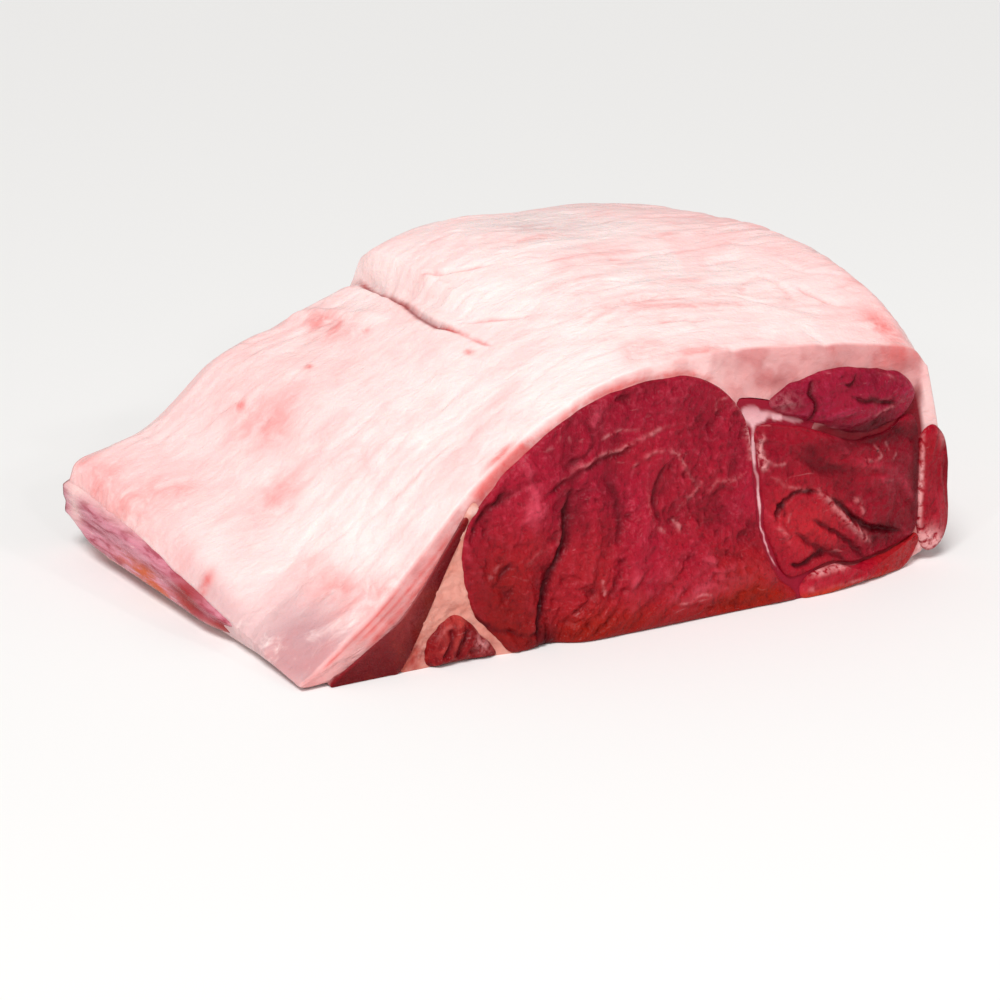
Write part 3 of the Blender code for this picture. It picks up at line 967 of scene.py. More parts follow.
@dataclass(frozen=True)
class Muscle:
    """One muscle of the section: a rod of its outline, with two cut faces that dome and wrinkle.

    Attributes:
        name: Name of its solid.
        outline: Corners of its outline at the cut.
        grid: Points along a side of the square grid that each face is drawn on.
        dome: How far both faces dome.
        finish: Its finish.
        slot: Its kind of finish, which is not used.
        rim: Radius of the faces' rounded edges.
        bulge: How much further the near face domes.
        wrinkle: Height of its folds.
        flow: Direction of its folds on the face, in degrees.
        hub: Where the folds fan out from, if they do.
        ragged: How uneven its outline is.
        spread: How far its faces spread over what lies round them.
        side: Height of the folds down its bare side.
        marks: Creases, ridges and sinews of the near face.
        warm: Patches that are warm in colour, as pale are pale, and deep are darker: painted shade in
            grooves, under overhanging edges and low down, and some darker flesh.
        seed: Seed of its fields.
        stations: Where its side has sections.
    """

    name: str
    outline: Points
    grid: int
    dome: float
    finish: LeanFinish
    slot: Slot
    rim: float = 1.6
    bulge: float = 0.0
    wrinkle: float = 0.5
    flow: float = 20.0
    hub: tuple[float, float] | None = None
    ragged: float = 0.5
    spread: float = 0.45
    side: float = 0.0
    marks: tuple[Mark, ...] = ()
    warm: tuple[Blot, ...] = ()
    pale: tuple[Blot, ...] = ()
    # Darker patches: painted shade in grooves, under overhanging edges and low down, and some darker flesh.
    deep: tuple[Blot, ...] = ()
    seed: int = 1
    stations: tuple[float, ...] = (3, 6, 10, 16, 26, 42, 62, 90, 118, 138, 154, 164, 170, 174, 177)

    def loop(self, count: int, grow: float = 0.0) -> Array:
        """The outline at the cut, a little uneven: moved along its normal by a random field.

        Args:
            count: Points around it.
            grow: How far it is moved out besides.

        Returns:
            Points (s, z).
        """
        line = even_loop(self.outline, count)
        uneven = self.ragged * Field(self.seed + 90).layered(line[:, 0] / 9, line[:, 1] / 9, 2)
        line += outward(line) * (uneven * smooth((line[:, 1] - 1.0) / 3) + grow)[:, None]
        if grow >= 0:
            line[:, 1] = np.maximum(line[:, 1], 0.0)
        return line

    def bed(self) -> Mesh:
        """The rod that the muscle takes out of what lies round it, running straight on past both ends."""
        line = self.loop(150, -0.35)
        rows = [LOIN.stood(LOIN.carried(line, y), y) for y in np.linspace(0, LOIN.length, 14)]
        rows = [rows[0] - (0, 24, 0), *rows, rows[-1] + (0, 18, 0)]
        return closed_tube(f"{self.name}_bed", rows)

    def relief(self, s: Array, z: Array, end: End) -> Array:
        """Relief of a cut face in millimetres.

        Long soft folds and, in patches, sharper ridges of 1 - 2 |n| run along the flow, or out from the hub
        if there is one; between the patches lie dimples of -|n|. The near face has the marks besides.

        Args:
            s: Places across the section.
            z: Heights at the cut.
            end: Which face.

        Returns:
            Heights above the plain face.
        """
        noise = Field(self.seed + (0 if end is End.CUT else 40))
        turn = math.radians(self.flow + (0 if end is End.CUT else 35))
        warp_s, warp_z = 5 * noise.at(s / 17 + 3, z / 17), 5 * noise.at(s / 17, z / 17 + 8)
        along = (s + warp_s) * math.cos(turn) + (z + warp_z) * math.sin(turn)
        over = (z + warp_z) * math.cos(turn) - (s + warp_s) * math.sin(turn)
        if self.hub:
            over = np.arctan2(s + warp_s - self.hub[0], z + warp_z - self.hub[1]) * 46
            along = np.hypot(s + warp_s - self.hub[0], z + warp_z - self.hub[1])
        fold = noise.layered(along / 34, over / 6.5, 3)
        ridge = 1 - 2 * np.abs(noise.layered(along / 26 + 11, over / 5.0, 2))
        patch = smooth(noise.at(s / 21 + 40, z / 21) * 1.6 + 0.5)
        swell = noise.layered(along / 30 + 50, over / 15, 2)
        height = self.wrinkle * (1.3 * swell + 2.0 * fold + 1.0 * patch * ridge)
        dimple = noise.layered(s / 3.6, z / 3.6, 3)
        height = height - 1.1 * self.wrinkle * (1.2 - patch) * np.abs(dimple) + 0.35 * self.wrinkle * dimple
        if end is End.CUT:
            height = height + sum(mark.height * share for mark, share in zip(self.marks, self.shares(s, z)))
        return height

    def shares(self, s: Array, z: Array) -> list[Array]:
        """How much of each mark is at each place: marks wander by one random field, and another breaks them.

        Args:
            s: Places across the section.
            z: Heights at the cut.

        Returns:
            One array for each mark.
        """
        noise = Field(self.seed + 60)
        u, v = s + 1.1 * noise.layered(s / 4.5, z / 4.5, 2), z + 1.1 * noise.layered(s / 4.5 + 20, z / 4.5, 2)
        broken = 0.35 + 0.65 * smooth(noise.at(s / 2.6 + 40, z / 2.6) * 1.4 + 0.6)
        return [mark.share(u, v) * (broken if mark.width < 1.0 else 1.0) for mark in self.marks]

    def masks(self, points: Array) -> Masks:
        """Where the muscle is warm, pale, deep and rosy in colour: hollows are deeper with painted shade, and
        ridges rosier with painted highlight.

        Along its side, away from both ends, long streaks of a random field do the same.

        Args:
            points: Points (s, y, z).

        Returns:
            The four masks.
        """
        s, y = points[:, 0], points[:, 1]
        z = points[:, 2] / LOIN.growth(s, np.clip(y, 0, LOIN.length))
        near = 1 - smooth((y - 2) / 12)
        noise = Field(self.seed + 7)
        # The deep patches are painted shade in grooves, under overhangs and low down, and some darker flesh.
        warm, pale, deep = (covered(blots, s, z) * near for blots in (self.warm, self.pale, self.deep))
        for mark, share in zip(self.marks, self.shares(s, z)):
            pale = pale + mark.pale * share * near
            deep = deep + mark.deep * share * near
        warm = warm + 0.18 * smooth(noise.layered(s / 30, z / 30, 3) * 2)
        rosy, far = np.zeros(len(s)), smooth((y - LOIN.length + 14) / 12)
        # Painted highlight on the ridges of each cut face's relief, and painted shade in its hollows.
        for end, share in ((End.CUT, near), (End.FAR, far)):
            height = self.relief(s, z, end) / self.wrinkle
            rosy = rosy + smooth((height - 0.1) / 2.0) * share
            deep = deep + 0.45 * smooth((-0.4 - height) / 1.6) * share
        fibre = noise.layered(y / 34, z / 5 + s / 9, 3) * (1 - near) * (1 - far)
        rosy = rosy + 0.7 * smooth(1.6 * fibre)
        deep = deep + 0.6 * smooth(-1.6 * fibre)
        pale = pale + 0.35 * smooth(3 * fibre - 1.2)
        return {"warm": warm, "pale": pale, "deep": deep, "rosy": rosy}

    def face(self, end: End) -> Array:
        """One cut face on a square grid, each ring of the grid a shrunken copy of the outline.

        The edge falls away along a quarter circle of the rim's radius.

        Args:
            end: Which face.

        Returns:
            Points (s, y, z), grid by grid.
        """
        n = self.grid
        u, v = np.meshgrid(np.linspace(-1, 1, n), np.linspace(-1, 1, n), indexing="ij")
        ring = np.maximum(np.abs(u), np.abs(v))
        safe = np.maximum(ring, 1e-9)
        sides = [u >= ring - 1e-12, v >= ring - 1e-12, u <= -ring + 1e-12]
        turn = np.select(sides, [v / safe + 1, 3 - u / safe, 5 - v / safe], 7 + u / safe)
        turn = (turn % 8) / 8
        line = self.loop(4 * (n - 1), self.spread)
        count = len(line)
        wide = np.vstack([line, line[:1]])
        edge = np.stack([np.interp(turn * count, np.arange(count + 1), wide[:, k]) for k in (0, 1)], -1)
        middle = even_loop(self.outline, 200).mean(axis=0)
        place = middle + (edge - middle) * ring[..., None]
        s, z = place[..., 0], place[..., 1]
        inward = (1 - ring) * np.linalg.norm(edge - middle, axis=-1) * 0.8
        drop = self.rim * (1 - np.sqrt(np.clip(1 - (1 - np.clip(inward / self.rim, 0, 1)) ** 2, 0, 1)))
        y = 0.0 if end is End.CUT else LOIN.length
        height = z * LOIN.growth(s, y)
        out = LOIN.out(end, s, height) + self.dome * (1 - ring**3) - drop
        out = out + self.relief(s, z, end) * smooth(inward / 3.0)
        out = out + self.bulge * (1 - ring**2) * (end is End.CUT)
        return np.stack([s, y + end.value * out, height], -1)

    def build(self) -> bpy.types.Object:
        """Two faces and the side between them as one closed skin, its bare side folded by a field."""
        n = self.grid
        near, far = self.face(End.CUT), self.face(End.FAR)
        number = np.arange(n * n).reshape(n, n)
        corners = [number[:-1, :-1], number[1:, :-1], number[1:, 1:], number[:-1, 1:]]
        cells = np.stack(corners, -1).reshape(-1, 4)
        border = np.concatenate([number[-1, :-1], number[:0:-1, -1], number[0, :0:-1], number[:-1, 0]])
        around = len(border)
        line = self.loop(around, self.spread)
        noise, rows = Field(self.seed + 70), []
        for y in self.stations:
            fold = noise.layered(np.full(around, y / 22), line[:, 1] / 7, 3) - 0.6
            fold *= self.side * smooth((line[:, 0] - 254) / 5)
            rows.append(LOIN.stood(LOIN.carried(line + outward(line) * fold[:, None], y), y, 0.0, 3.0))
        points = np.vstack([near.reshape(-1, 3), far.reshape(-1, 3), *rows])
        first = 2 * n * n
        p = np.arange(around)
        q = (p + 1) % around
        start = np.stack([border[p], first + p, first + q, border[q]], 1)
        last = first + (len(rows) - 1) * around
        stop = np.stack([last + p, n * n + border[p], n * n + border[q], last + q], 1)
        quads = np.vstack([cells, n * n + cells[:, ::-1], start, tube_quads(len(rows), around, first), stop])
        points[:, 2] = np.maximum(points[:, 2], 0.0)
        mesh = build_mesh(self.name, points, quads)
        paint_masks(mesh, self.masks(points))
        return dress(mesh, self.name, self.finish.material())


def end_rows(loop: Array, end: End, recess: float, rings: int, relief: float, seed: int) -> list[Array]:
    """Rings that close an end: the loop shrunk about its middle, standing out as the end does there.

    Args:
        loop: Outline (s, z) at that end.
        end: Which end.
        recess: How far it lies behind the lean.
        rings: How many rings, the loop itself included.
        relief: Height of its unevenness.
        seed: Seed of the unevenness.

    Returns:
        Rows of points (s, y, z), from the middle outwards.
    """
    middle, noise, rows = loop.mean(axis=0), Field(seed), []
    for scale in np.linspace(0.03, 1, rings):
        ring = middle + (loop - middle) * scale
        s, z = ring[:, 0], ring[:, 1]
        rough = relief * noise.layered(s / 7, z / 7, 4) * smooth((1 - scale) * 12)
        out = LOIN.out(end, s, z) - recess + rough
        y = 0.0 if end is End.CUT else LOIN.length
        rows.append(np.stack([s, y + end.value * out, z], 1))
    return rows


@dataclass(frozen=True)
class Tissue:
    """Soft tissue that fills in between muscles, cut back to their beds.

    Attributes:
        name: Name of its solid.
        outline: Corners of its outline at the cut, which reaches into what lies beside it.
        finish: Its finish.
        slot: Its kind of finish, which is not used.
        beside: Names of the pieces whose beds are cut out of it.
        around: Points round its outline.
        rings: Rings of points on its near end, and half as many on its far end.
        recess: How far its ends lie behind those of the lean.
        relief: Height of its unevenness.
        bloody: How red it is all over, apart from the clear marks and patches.
        blood: Patches with blood in them, as deep are deeper in colour.
        seed: Seed of its fields.
    """

    name: str
    outline: Points
    finish: FatFinish
    slot: Slot
    beside: tuple[str, ...]
    around: int = 260
    rings: int = 34
    recess: float = 0.7
    relief: float = 0.8
    bloody: float = 0.0
    clear: tuple[Mark | Blot, ...] = ()
    blood: tuple[Blot, ...] = ()
    deep: tuple[Blot, ...] = ()
    seed: int = 3

    def rows(self, loop: Array) -> list[Array]:
        """The loop carried along the loin, without its ends."""
        along = np.linspace(2, LOIN.length - 2, 16)
        return [LOIN.stood(LOIN.carried(loop, y), y, self.recess) for y in along]

    def bed(self) -> Mesh:
        """The rod that the tissue takes out of the fat round it."""
        rows = self.rows(even_loop(self.outline, 140))
        rows = [rows[0] - (0, 24, 0), *rows, rows[-1] + (0, 20, 0)]
        return closed_tube(f"{self.name}_bed", rows)

    def build(self, beds: dict[str, Mesh]) -> bpy.types.Object:
        """The rod with uneven cut ends, carved by the beds beside it.

        Args:
            beds: Beds by the name of their piece.

        Returns:
            The piece.
        """
        loop = even_loop(self.outline, self.around)
        near = end_rows(loop, End.CUT, self.recess, self.rings, self.relief, self.seed)
        far_loop = LOIN.carried(loop, LOIN.length)
        far = end_rows(far_loop, End.FAR, self.recess, self.rings // 2, self.relief, self.seed + 1)
        mesh = closed_tube(self.name, [*near, *self.rows(loop), *far[::-1]])
        mesh = carve(mesh, [beds[name] for name in self.beside])
        points = rows_of(mesh)
        s = points[:, 0]
        z = points[:, 2] / LOIN.growth(s, np.clip(points[:, 1], 0, LOIN.length))
        noise = Field(self.seed + 30)
        u, v = s + 1.0 * noise.layered(s / 5, z / 5, 2), z + 1.0 * noise.layered(s / 5 + 20, z / 5, 2)
        broken = 0.7 + 0.5 * smooth(noise.at(s / 3.4 + 40, z / 3.4) * 1.3 + 0.6)
        clear = np.clip(covered(self.clear, u, v) * broken, 0, 1)
        deep = self.bloody * np.clip(1.7 * (1 - clear), 0, 1) + covered(self.deep, s, z)
        paint_masks(mesh, {"blood": covered(self.blood, s, z), "deep": deep})
        mesh.set_sharp_from_angle(angle=math.radians(SHARP))
        return dress(mesh, self.name, self.finish.material())


@dataclass(frozen=True)
class Flank:
    """The flank muscle under the fat of the tail, bare on the tail side under its silverskin.

    Attributes:
        name: Name of its solid.
        depth_cut: How deep in the fat it lies at the cut, from its outer to its inner edge, and depth_far at
            the far end.
        thick_cut: How thick it is at the same places, and thick_far at the far end.
        from_cut: Where along the fat's outer line its outer edge lies at the cut, and from_far further on.
        tip: Where its inner edge lies.
        out_by: How far from the cut it takes to come bare.
        proud: How far its bare side stands out.
        finish: Its finish.
        warm: Rusty patches of its bare side, as deep and pale are deep and pale.
    """

    name: str = "flank_muscle"
    depth_cut: tuple[float, ...] = (6.6, 9.0, 9.0, 6.8, 4.2)
    depth_far: tuple[float, ...] = (5.5, 5.8, 6.0, 5.6, 4.2)
    thick_cut: tuple[float, ...] = (12.0, 15.0, 8.0, 4.0, 1.6)
    thick_far: tuple[float, ...] = (16.0, 20.0, 14.0, 5.5, 1.6)
    from_cut: float = 0.07
    from_far: float = 0.03
    tip: float = 0.330
    out_by: float = 62.0
    proud: float = 1.0
    finish: SilverskinFinish = SilverskinFinish("silverskin")
    warm: tuple[Blot, ...] = (Blot(106, 8, 11, 4, 1.2), Blot(92, 5, 14, 3, 1.0), Blot(122, 10, 12, 3, 0.6))
    deep: tuple[Blot, ...] = (Blot(74, 10, 12, 6, 1.2), Blot(52, 5, 9, 3, 1.2), Blot(150, 4, 7, 3.5, 1.3))
    pale: tuple[Blot, ...] = (Blot(96, 2, 30, 2.2, 0.9), Blot(60, 3, 8, 2, 0.6), Blot(170, 18, 6, 8, 0.8))

    def line(self, y: float) -> Array:
        """Section at station y: upper and inner lines a depth and a thickness inside the fat's outer line.

        Within out_by of the cut its outer edge goes over from a blunt edge in the fat to the bare tail side.

        Args:
            y: The station.

        Returns:
            Points (s, z).
        """
        share = LOIN.far_share(y)
        out = float(smooth((y - 4) / self.out_by))
        u = np.linspace(0, 1, 14)
        a = self.from_cut * (1 - out) + self.from_far * out
        a = a + (self.tip - a) * u
        depth, thick = (
            np.interp(u, np.linspace(0, 1, 5), np.array(cut) * (1 - share) + np.array(far) * share)[:, None]
            for cut, far in ((self.depth_cut, self.depth_far), (self.thick_cut, self.thick_far))
        )
        along = LOIN.top_line(a + 0.004, y) - LOIN.top_line(a - 0.004, y)
        along /= np.linalg.norm(along, axis=1)[:, None]
        inward = np.stack([along[:, 1], -along[:, 0]], 1)
        upper = LOIN.top_line(a, y) + depth * inward
        inner = upper + thick * inward
        rim, low = LOIN.top_line(np.array([0.0]), y)[0], LOIN.low_corner(y)
        up = (0.12, 0.48, 0.86)
        bare = [low * (1 - v) + rim * v + (-1.2 - self.proud * (0.6 + 4.8 * v * (1 - v)), 0.5) for v in up]
        blunt = upper[0] + (-1.0, -2.4)
        inside = [inner[3] * (1 - v) + blunt * v for v in (0.4, 0.75, 1.0)]
        outer = np.array(inside) * (1 - out) + np.array(bare) * out
        line = np.vstack([upper, inner[:2:-1], outer])
        line[:, 1] = np.maximum(line[:, 1], 0.3)
        return line

    def rows(self, count: int, stations: int, grow: float) -> list[Array]:
        """Sections along the loin, each an even loop moved out along its normal.

        The bare side is folded finely by a random field. Its folds fade in behind the cut, where the tip of
        the strip stays smooth.

        Args:
            count: Points around.
            stations: How many sections.
            grow: How far the sections are moved out.

        Returns:
            Rows of points (s, y, z).
        """
        noise, rows = Field(61), []
        for y in np.linspace(0, LOIN.length, stations):
            line = self.line(float(y))
            corners = np.linspace(0, len(line), count, endpoint=False)
            line = spline(np.vstack([line[-1:], line, line[:2]]), (corners + 1) / (len(line) + 2))
            move = np.full(count, grow)
            if grow >= 0:
                bare = smooth((3.0 - line[:, 0]) / 6) * smooth((y - 60) / 30)
                fold = noise.layered(np.full(count, y / 26), line[:, 1] / 4.5, 3)
                move += bare * (0.5 * fold - 0.2)
            rows.append(LOIN.stood(line + outward(line) * move[:, None], float(y)))
        return rows

    def bed(self) -> Mesh:
        """What the muscle takes out of the fat."""
        rows = self.rows(168, 100, -0.3)
        return closed_tube(f"{self.name}_bed", [rows[0] - (0, 16, 0), *rows, rows[-1] + (0, 14, 0)])

    def build(self) -> bpy.types.Object:
        """The muscle, with masks over its bare side by distance along the loin and height."""
        rows = self.rows(252, 150, 0.0)
        mesh = closed_tube(self.name, rows)
        s, y, z = rows_of(mesh).T
        pale = 0.8 * smooth((z - 12 - 0.055 * y) / 5) * smooth((5 - s) / 4) + 0.7 * smooth((48 - y) / 10)
        cut = smooth((2.4 - LOIN.cut_out(s, z) - y) / 1.5) + smooth((y - LOIN.length + 1.5) / 2)
        streak = smooth(2.4 * Field(67).layered((s - z) / 7, (s + z) / 22, 3))
        masks = {
            "warm": covered(self.warm, y, z),
            "deep": covered(self.deep, y, z),
            "pale": pale + covered(self.pale, y, z),
            "cut": cut * (1 - 0.04 * streak),
        }
        paint_masks(mesh, masks)
        return dress(mesh, self.name, self.finish.material())


@dataclass(frozen=True)
class FatCap:
    """The cap of fat: the outer form with a rounded rim at each cut end, less the beds of what lies in it.

    Attributes:
        finish: Its finish.
        marks: Creases and veins of its outside, by place across the section and along the loin.
        blood: Bloodshot patches of the outside, and lilac the lilac ones.
        gap_shade: Painted shade, dark red lines in the gaps between the muscles on the cut face, and raw the
            red ones.
        name: Name of its solid.
        counts: Points along the back, the chine side, the underside and the tail side of a section.
        stations: How many sections.
        recess: How far its ends lie behind those of the lean.
        rim: Radius of its rounded edges.
        lumps: Height of its broad lumps.
        wrinkle: Height of its wrinkles.
    """

    finish: FatFinish
    marks: tuple[Mark, ...]
    blood: tuple[Blot, ...]
    lilac: tuple[Blot, ...]
    # Painted shade in the gaps between the muscles on the cut face.
    gap_shade: tuple[Mark | Blot, ...]
    raw: tuple[Mark | Blot, ...]
    name: str = "fat_cap"
    counts: tuple[int, int, int, int] = (280, 56, 48, 18)
    stations: int = 146
    recess: float = 1.2
    rim: float = 2.2
    lumps: float = 1.0
    wrinkle: float = 0.65

    def loop(self, y: float) -> Array:
        """Outer line of the section at a station."""
        return LOIN.outline(y, *self.counts)

    def relief(self, s: Array, y: Array, z: Array) -> Array:
        """Relief of the outside: broad lumps, wrinkles that run across the loin, and the marks.

        Args:
            s: Places across the section.
            y: Stations.
            z: Heights.

        Returns:
            Heights in millimetres.
        """
        noise = Field(11)
        lump = noise.layered(s / 46, y / 40, 2) + 0.3 * noise.layered(s / 15 + 5, y / 11, 2)
        bend = 4 * noise.at(s / 30 + 9, y / 30)
        fold = noise.layered((s + z) / 34, (y + bend) / 5.2, 3)
        crease = np.exp(-((noise.at((s + z) / 40 + 21, (y + bend) / 9) / 0.07) ** 2))
        where = smooth(noise.at(s / 40 + 31, y / 32) * 2 + 0.4 + 0.9 * smooth((s - 100) / 50))
        height = self.lumps * lump + self.wrinkle * where * (fold - 0.8 * crease)
        height += 0.10 * noise.layered(s / 2.4, y / 2.4, 2)
        return height + sum(mark.height * mark.share(s, y) for mark in self.marks)

    def skin(self) -> list[Array]:
        """Sections from rim to rim, moved along the surface normal by the relief."""
        stations = np.linspace(self.rim, LOIN.length - self.rim, self.stations)
        rows = np.array([LOIN.stood(self.loop(float(y)), float(y), self.recess, self.rim) for y in stations])
        along, around = np.gradient(rows, axis=0), np.roll(rows, -1, axis=1) - np.roll(rows, 1, axis=1)
        normal = np.cross(around, along)
        normal /= np.maximum(np.linalg.norm(normal, axis=2), 1e-9)[..., None]
        s, y, z = rows[..., 0], rows[..., 1], rows[..., 2]
        resting = smooth((z - 2.5) / 4)
        height = (self.relief(s, y, z) - 0.4 - 1.0 * smooth((z - 102) / 9)) * resting
        return list(rows + normal * height[..., None])

    def rim_rows(self, edge: Array, end: End) -> tuple[list[Array], Array]:
        """Rows round the edge of an end: a quarter circle from the outside to the cut face.

        Args:
            edge: The outside's last row, points (s, y, z).
            end: Which end.

        Returns:
            The rows after it, and the loop (s, z) of the last of them.
        """
        loop = edge[:, [0, 2]]
        thin = 0.1 + 0.9 * smooth((loop[:, 0] + 3) / 14)
        inward = -outward(loop) * thin[:, None]
        rows = []
        for turn in np.radians([20, 40, 60, 75, 90]):
            line = loop + inward * self.rim * (1 - math.cos(turn))
            y = edge[:, 1] + end.value * self.rim * math.sin(turn)
            rows.append(np.stack([line[:, 0], y, line[:, 1]], 1))
        return rows, rows[-1][:, [0, 2]]

    def build(self, beds: dict[str, Mesh]) -> bpy.types.Object:
        """The outer form, carved by every bed, with its masks.

        Args:
            beds: Beds by the name of their piece.

        Returns:
            The piece.
        """
        skin = self.skin()
        near, near_loop = self.rim_rows(skin[0], End.CUT)
        far, far_loop = self.rim_rows(skin[-1], End.FAR)
        front = end_rows(near_loop, End.CUT, self.recess, 50, 0.7, 21)
        back = end_rows(far_loop, End.FAR, self.recess, 26, 0.7, 22)
        rows = [*front[:-1], *near[::-1], *skin, *far, *back[-2::-1]]
        for row in rows:
            row[:, 2] = np.maximum(row[:, 2], 0.4)
        mesh = carve(closed_tube(self.name, rows), list(beds.values()))
        paint_masks(mesh, self.masks(rows_of(mesh)))
        mesh.set_sharp_from_angle(angle=math.radians(SHARP))
        return dress(mesh, self.name, self.finish.material())

    def masks(self, points: Array) -> Masks:
        """Where the cap is bloody, lilac, cut, deep and blooming in colour.

        The outside has its marks and patches over thin streaks of blood, which a random field draws across
        the loin, and the cut ends have their own lines. Deep is painted shade in the fold's crease and in the
        gaps between the muscles, with some of the raw lines' own red.

        Args:
            points: Points (s, y, z).

        Returns:
            The five masks.
        """
        s, y, z = points[:, 0], points[:, 1], points[:, 2]
        noise = Field(15)
        cut = smooth((self.recess + 1.6 - LOIN.cut_out(s, z) - y) / 1.2)
        far = smooth((y - LOIN.length - LOIN.far_out(s, z) + self.recess + 1.6) / 1.2)
        skin = 1 - np.maximum(cut, far)
        blood = covered(self.blood, s, y)
        blood += 0.14 * smooth(noise.layered(s / 22, y / 14, 4) * 3)
        bend = 4 * noise.at(s / 30 + 9, y / 30)
        streak = noise.layered((s + z) / 40 + 60, (y + bend) / 4.5, 3)
        blood += 0.3 * smooth((s - 90) / 50) * smooth(streak * 3 - 0.9)
        blood += sum(mark.pale * mark.share(s, y) for mark in self.marks)
        blood += 0.5 * smooth((s - 135) / 30) * np.exp(-(((y - 1.0) / 1.1) ** 2)) * smooth((z - 60) / 10)
        lilac = covered(self.lilac, s, y)
        # Painted shade in the fold's crease, with its own dark red.
        deep = sum(mark.deep * mark.share(s, y) for mark in self.marks)
        # Painted shade in the gaps between the muscles on the cut face.
        gap_shade = np.clip(2.6 * covered(self.gap_shade, s, z), 0, 1)
        raw = covered(self.raw, s, z)
        face = 0.3 + 0.45 * smooth((64 - s) / 14) + 0.5 * smooth((s - 150) / 20)
        face += 0.25 * smooth(noise.layered(s / 8, z / 8, 3) * 2)
        bloom = 0.9 * smooth((y - 20) / 110) * smooth((120 - s) / 80) + 0.8 * smooth((s - 190) / 50)
        return {
            "blood": blood * skin + (1 - skin) * (0.12 + 0.8 * raw),
            "lilac": np.clip(lilac, 0, 0.9) * skin,
            "cut": (1 - skin) * (1 - 0.75 * smooth((s - 249) / 3)) * face,
            "deep": deep * skin + (1 - skin) * (gap_shade + 0.4 * np.clip(raw - 0.6, 0, 1)),
            "bloom": np.clip(bloom, 0, 1),
        }


# Each finish's third colour is its rosy, the painted highlight on ridges and bumps.
CRIMSON = LeanFinish("lean_crimson", (158, 18, 44), (150, 24, 10), (216, 78, 100))
PURPLE = LeanFinish("lean_purple", (146, 18, 48), (152, 30, 36), (184, 54, 90), threads=0.3)
DARK = LeanFinish("lean_dark", (140, 8, 32), (182, 34, 44), (186, 50, 70))
BROWN = LeanFinish("lean_brown", (124, 10, 18), (142, 32, 20), (196, 72, 66))
BRIGHT = LeanFinish("lean_bright", (158, 6, 30), (186, 56, 24), (186, 40, 58), threads=0.4)

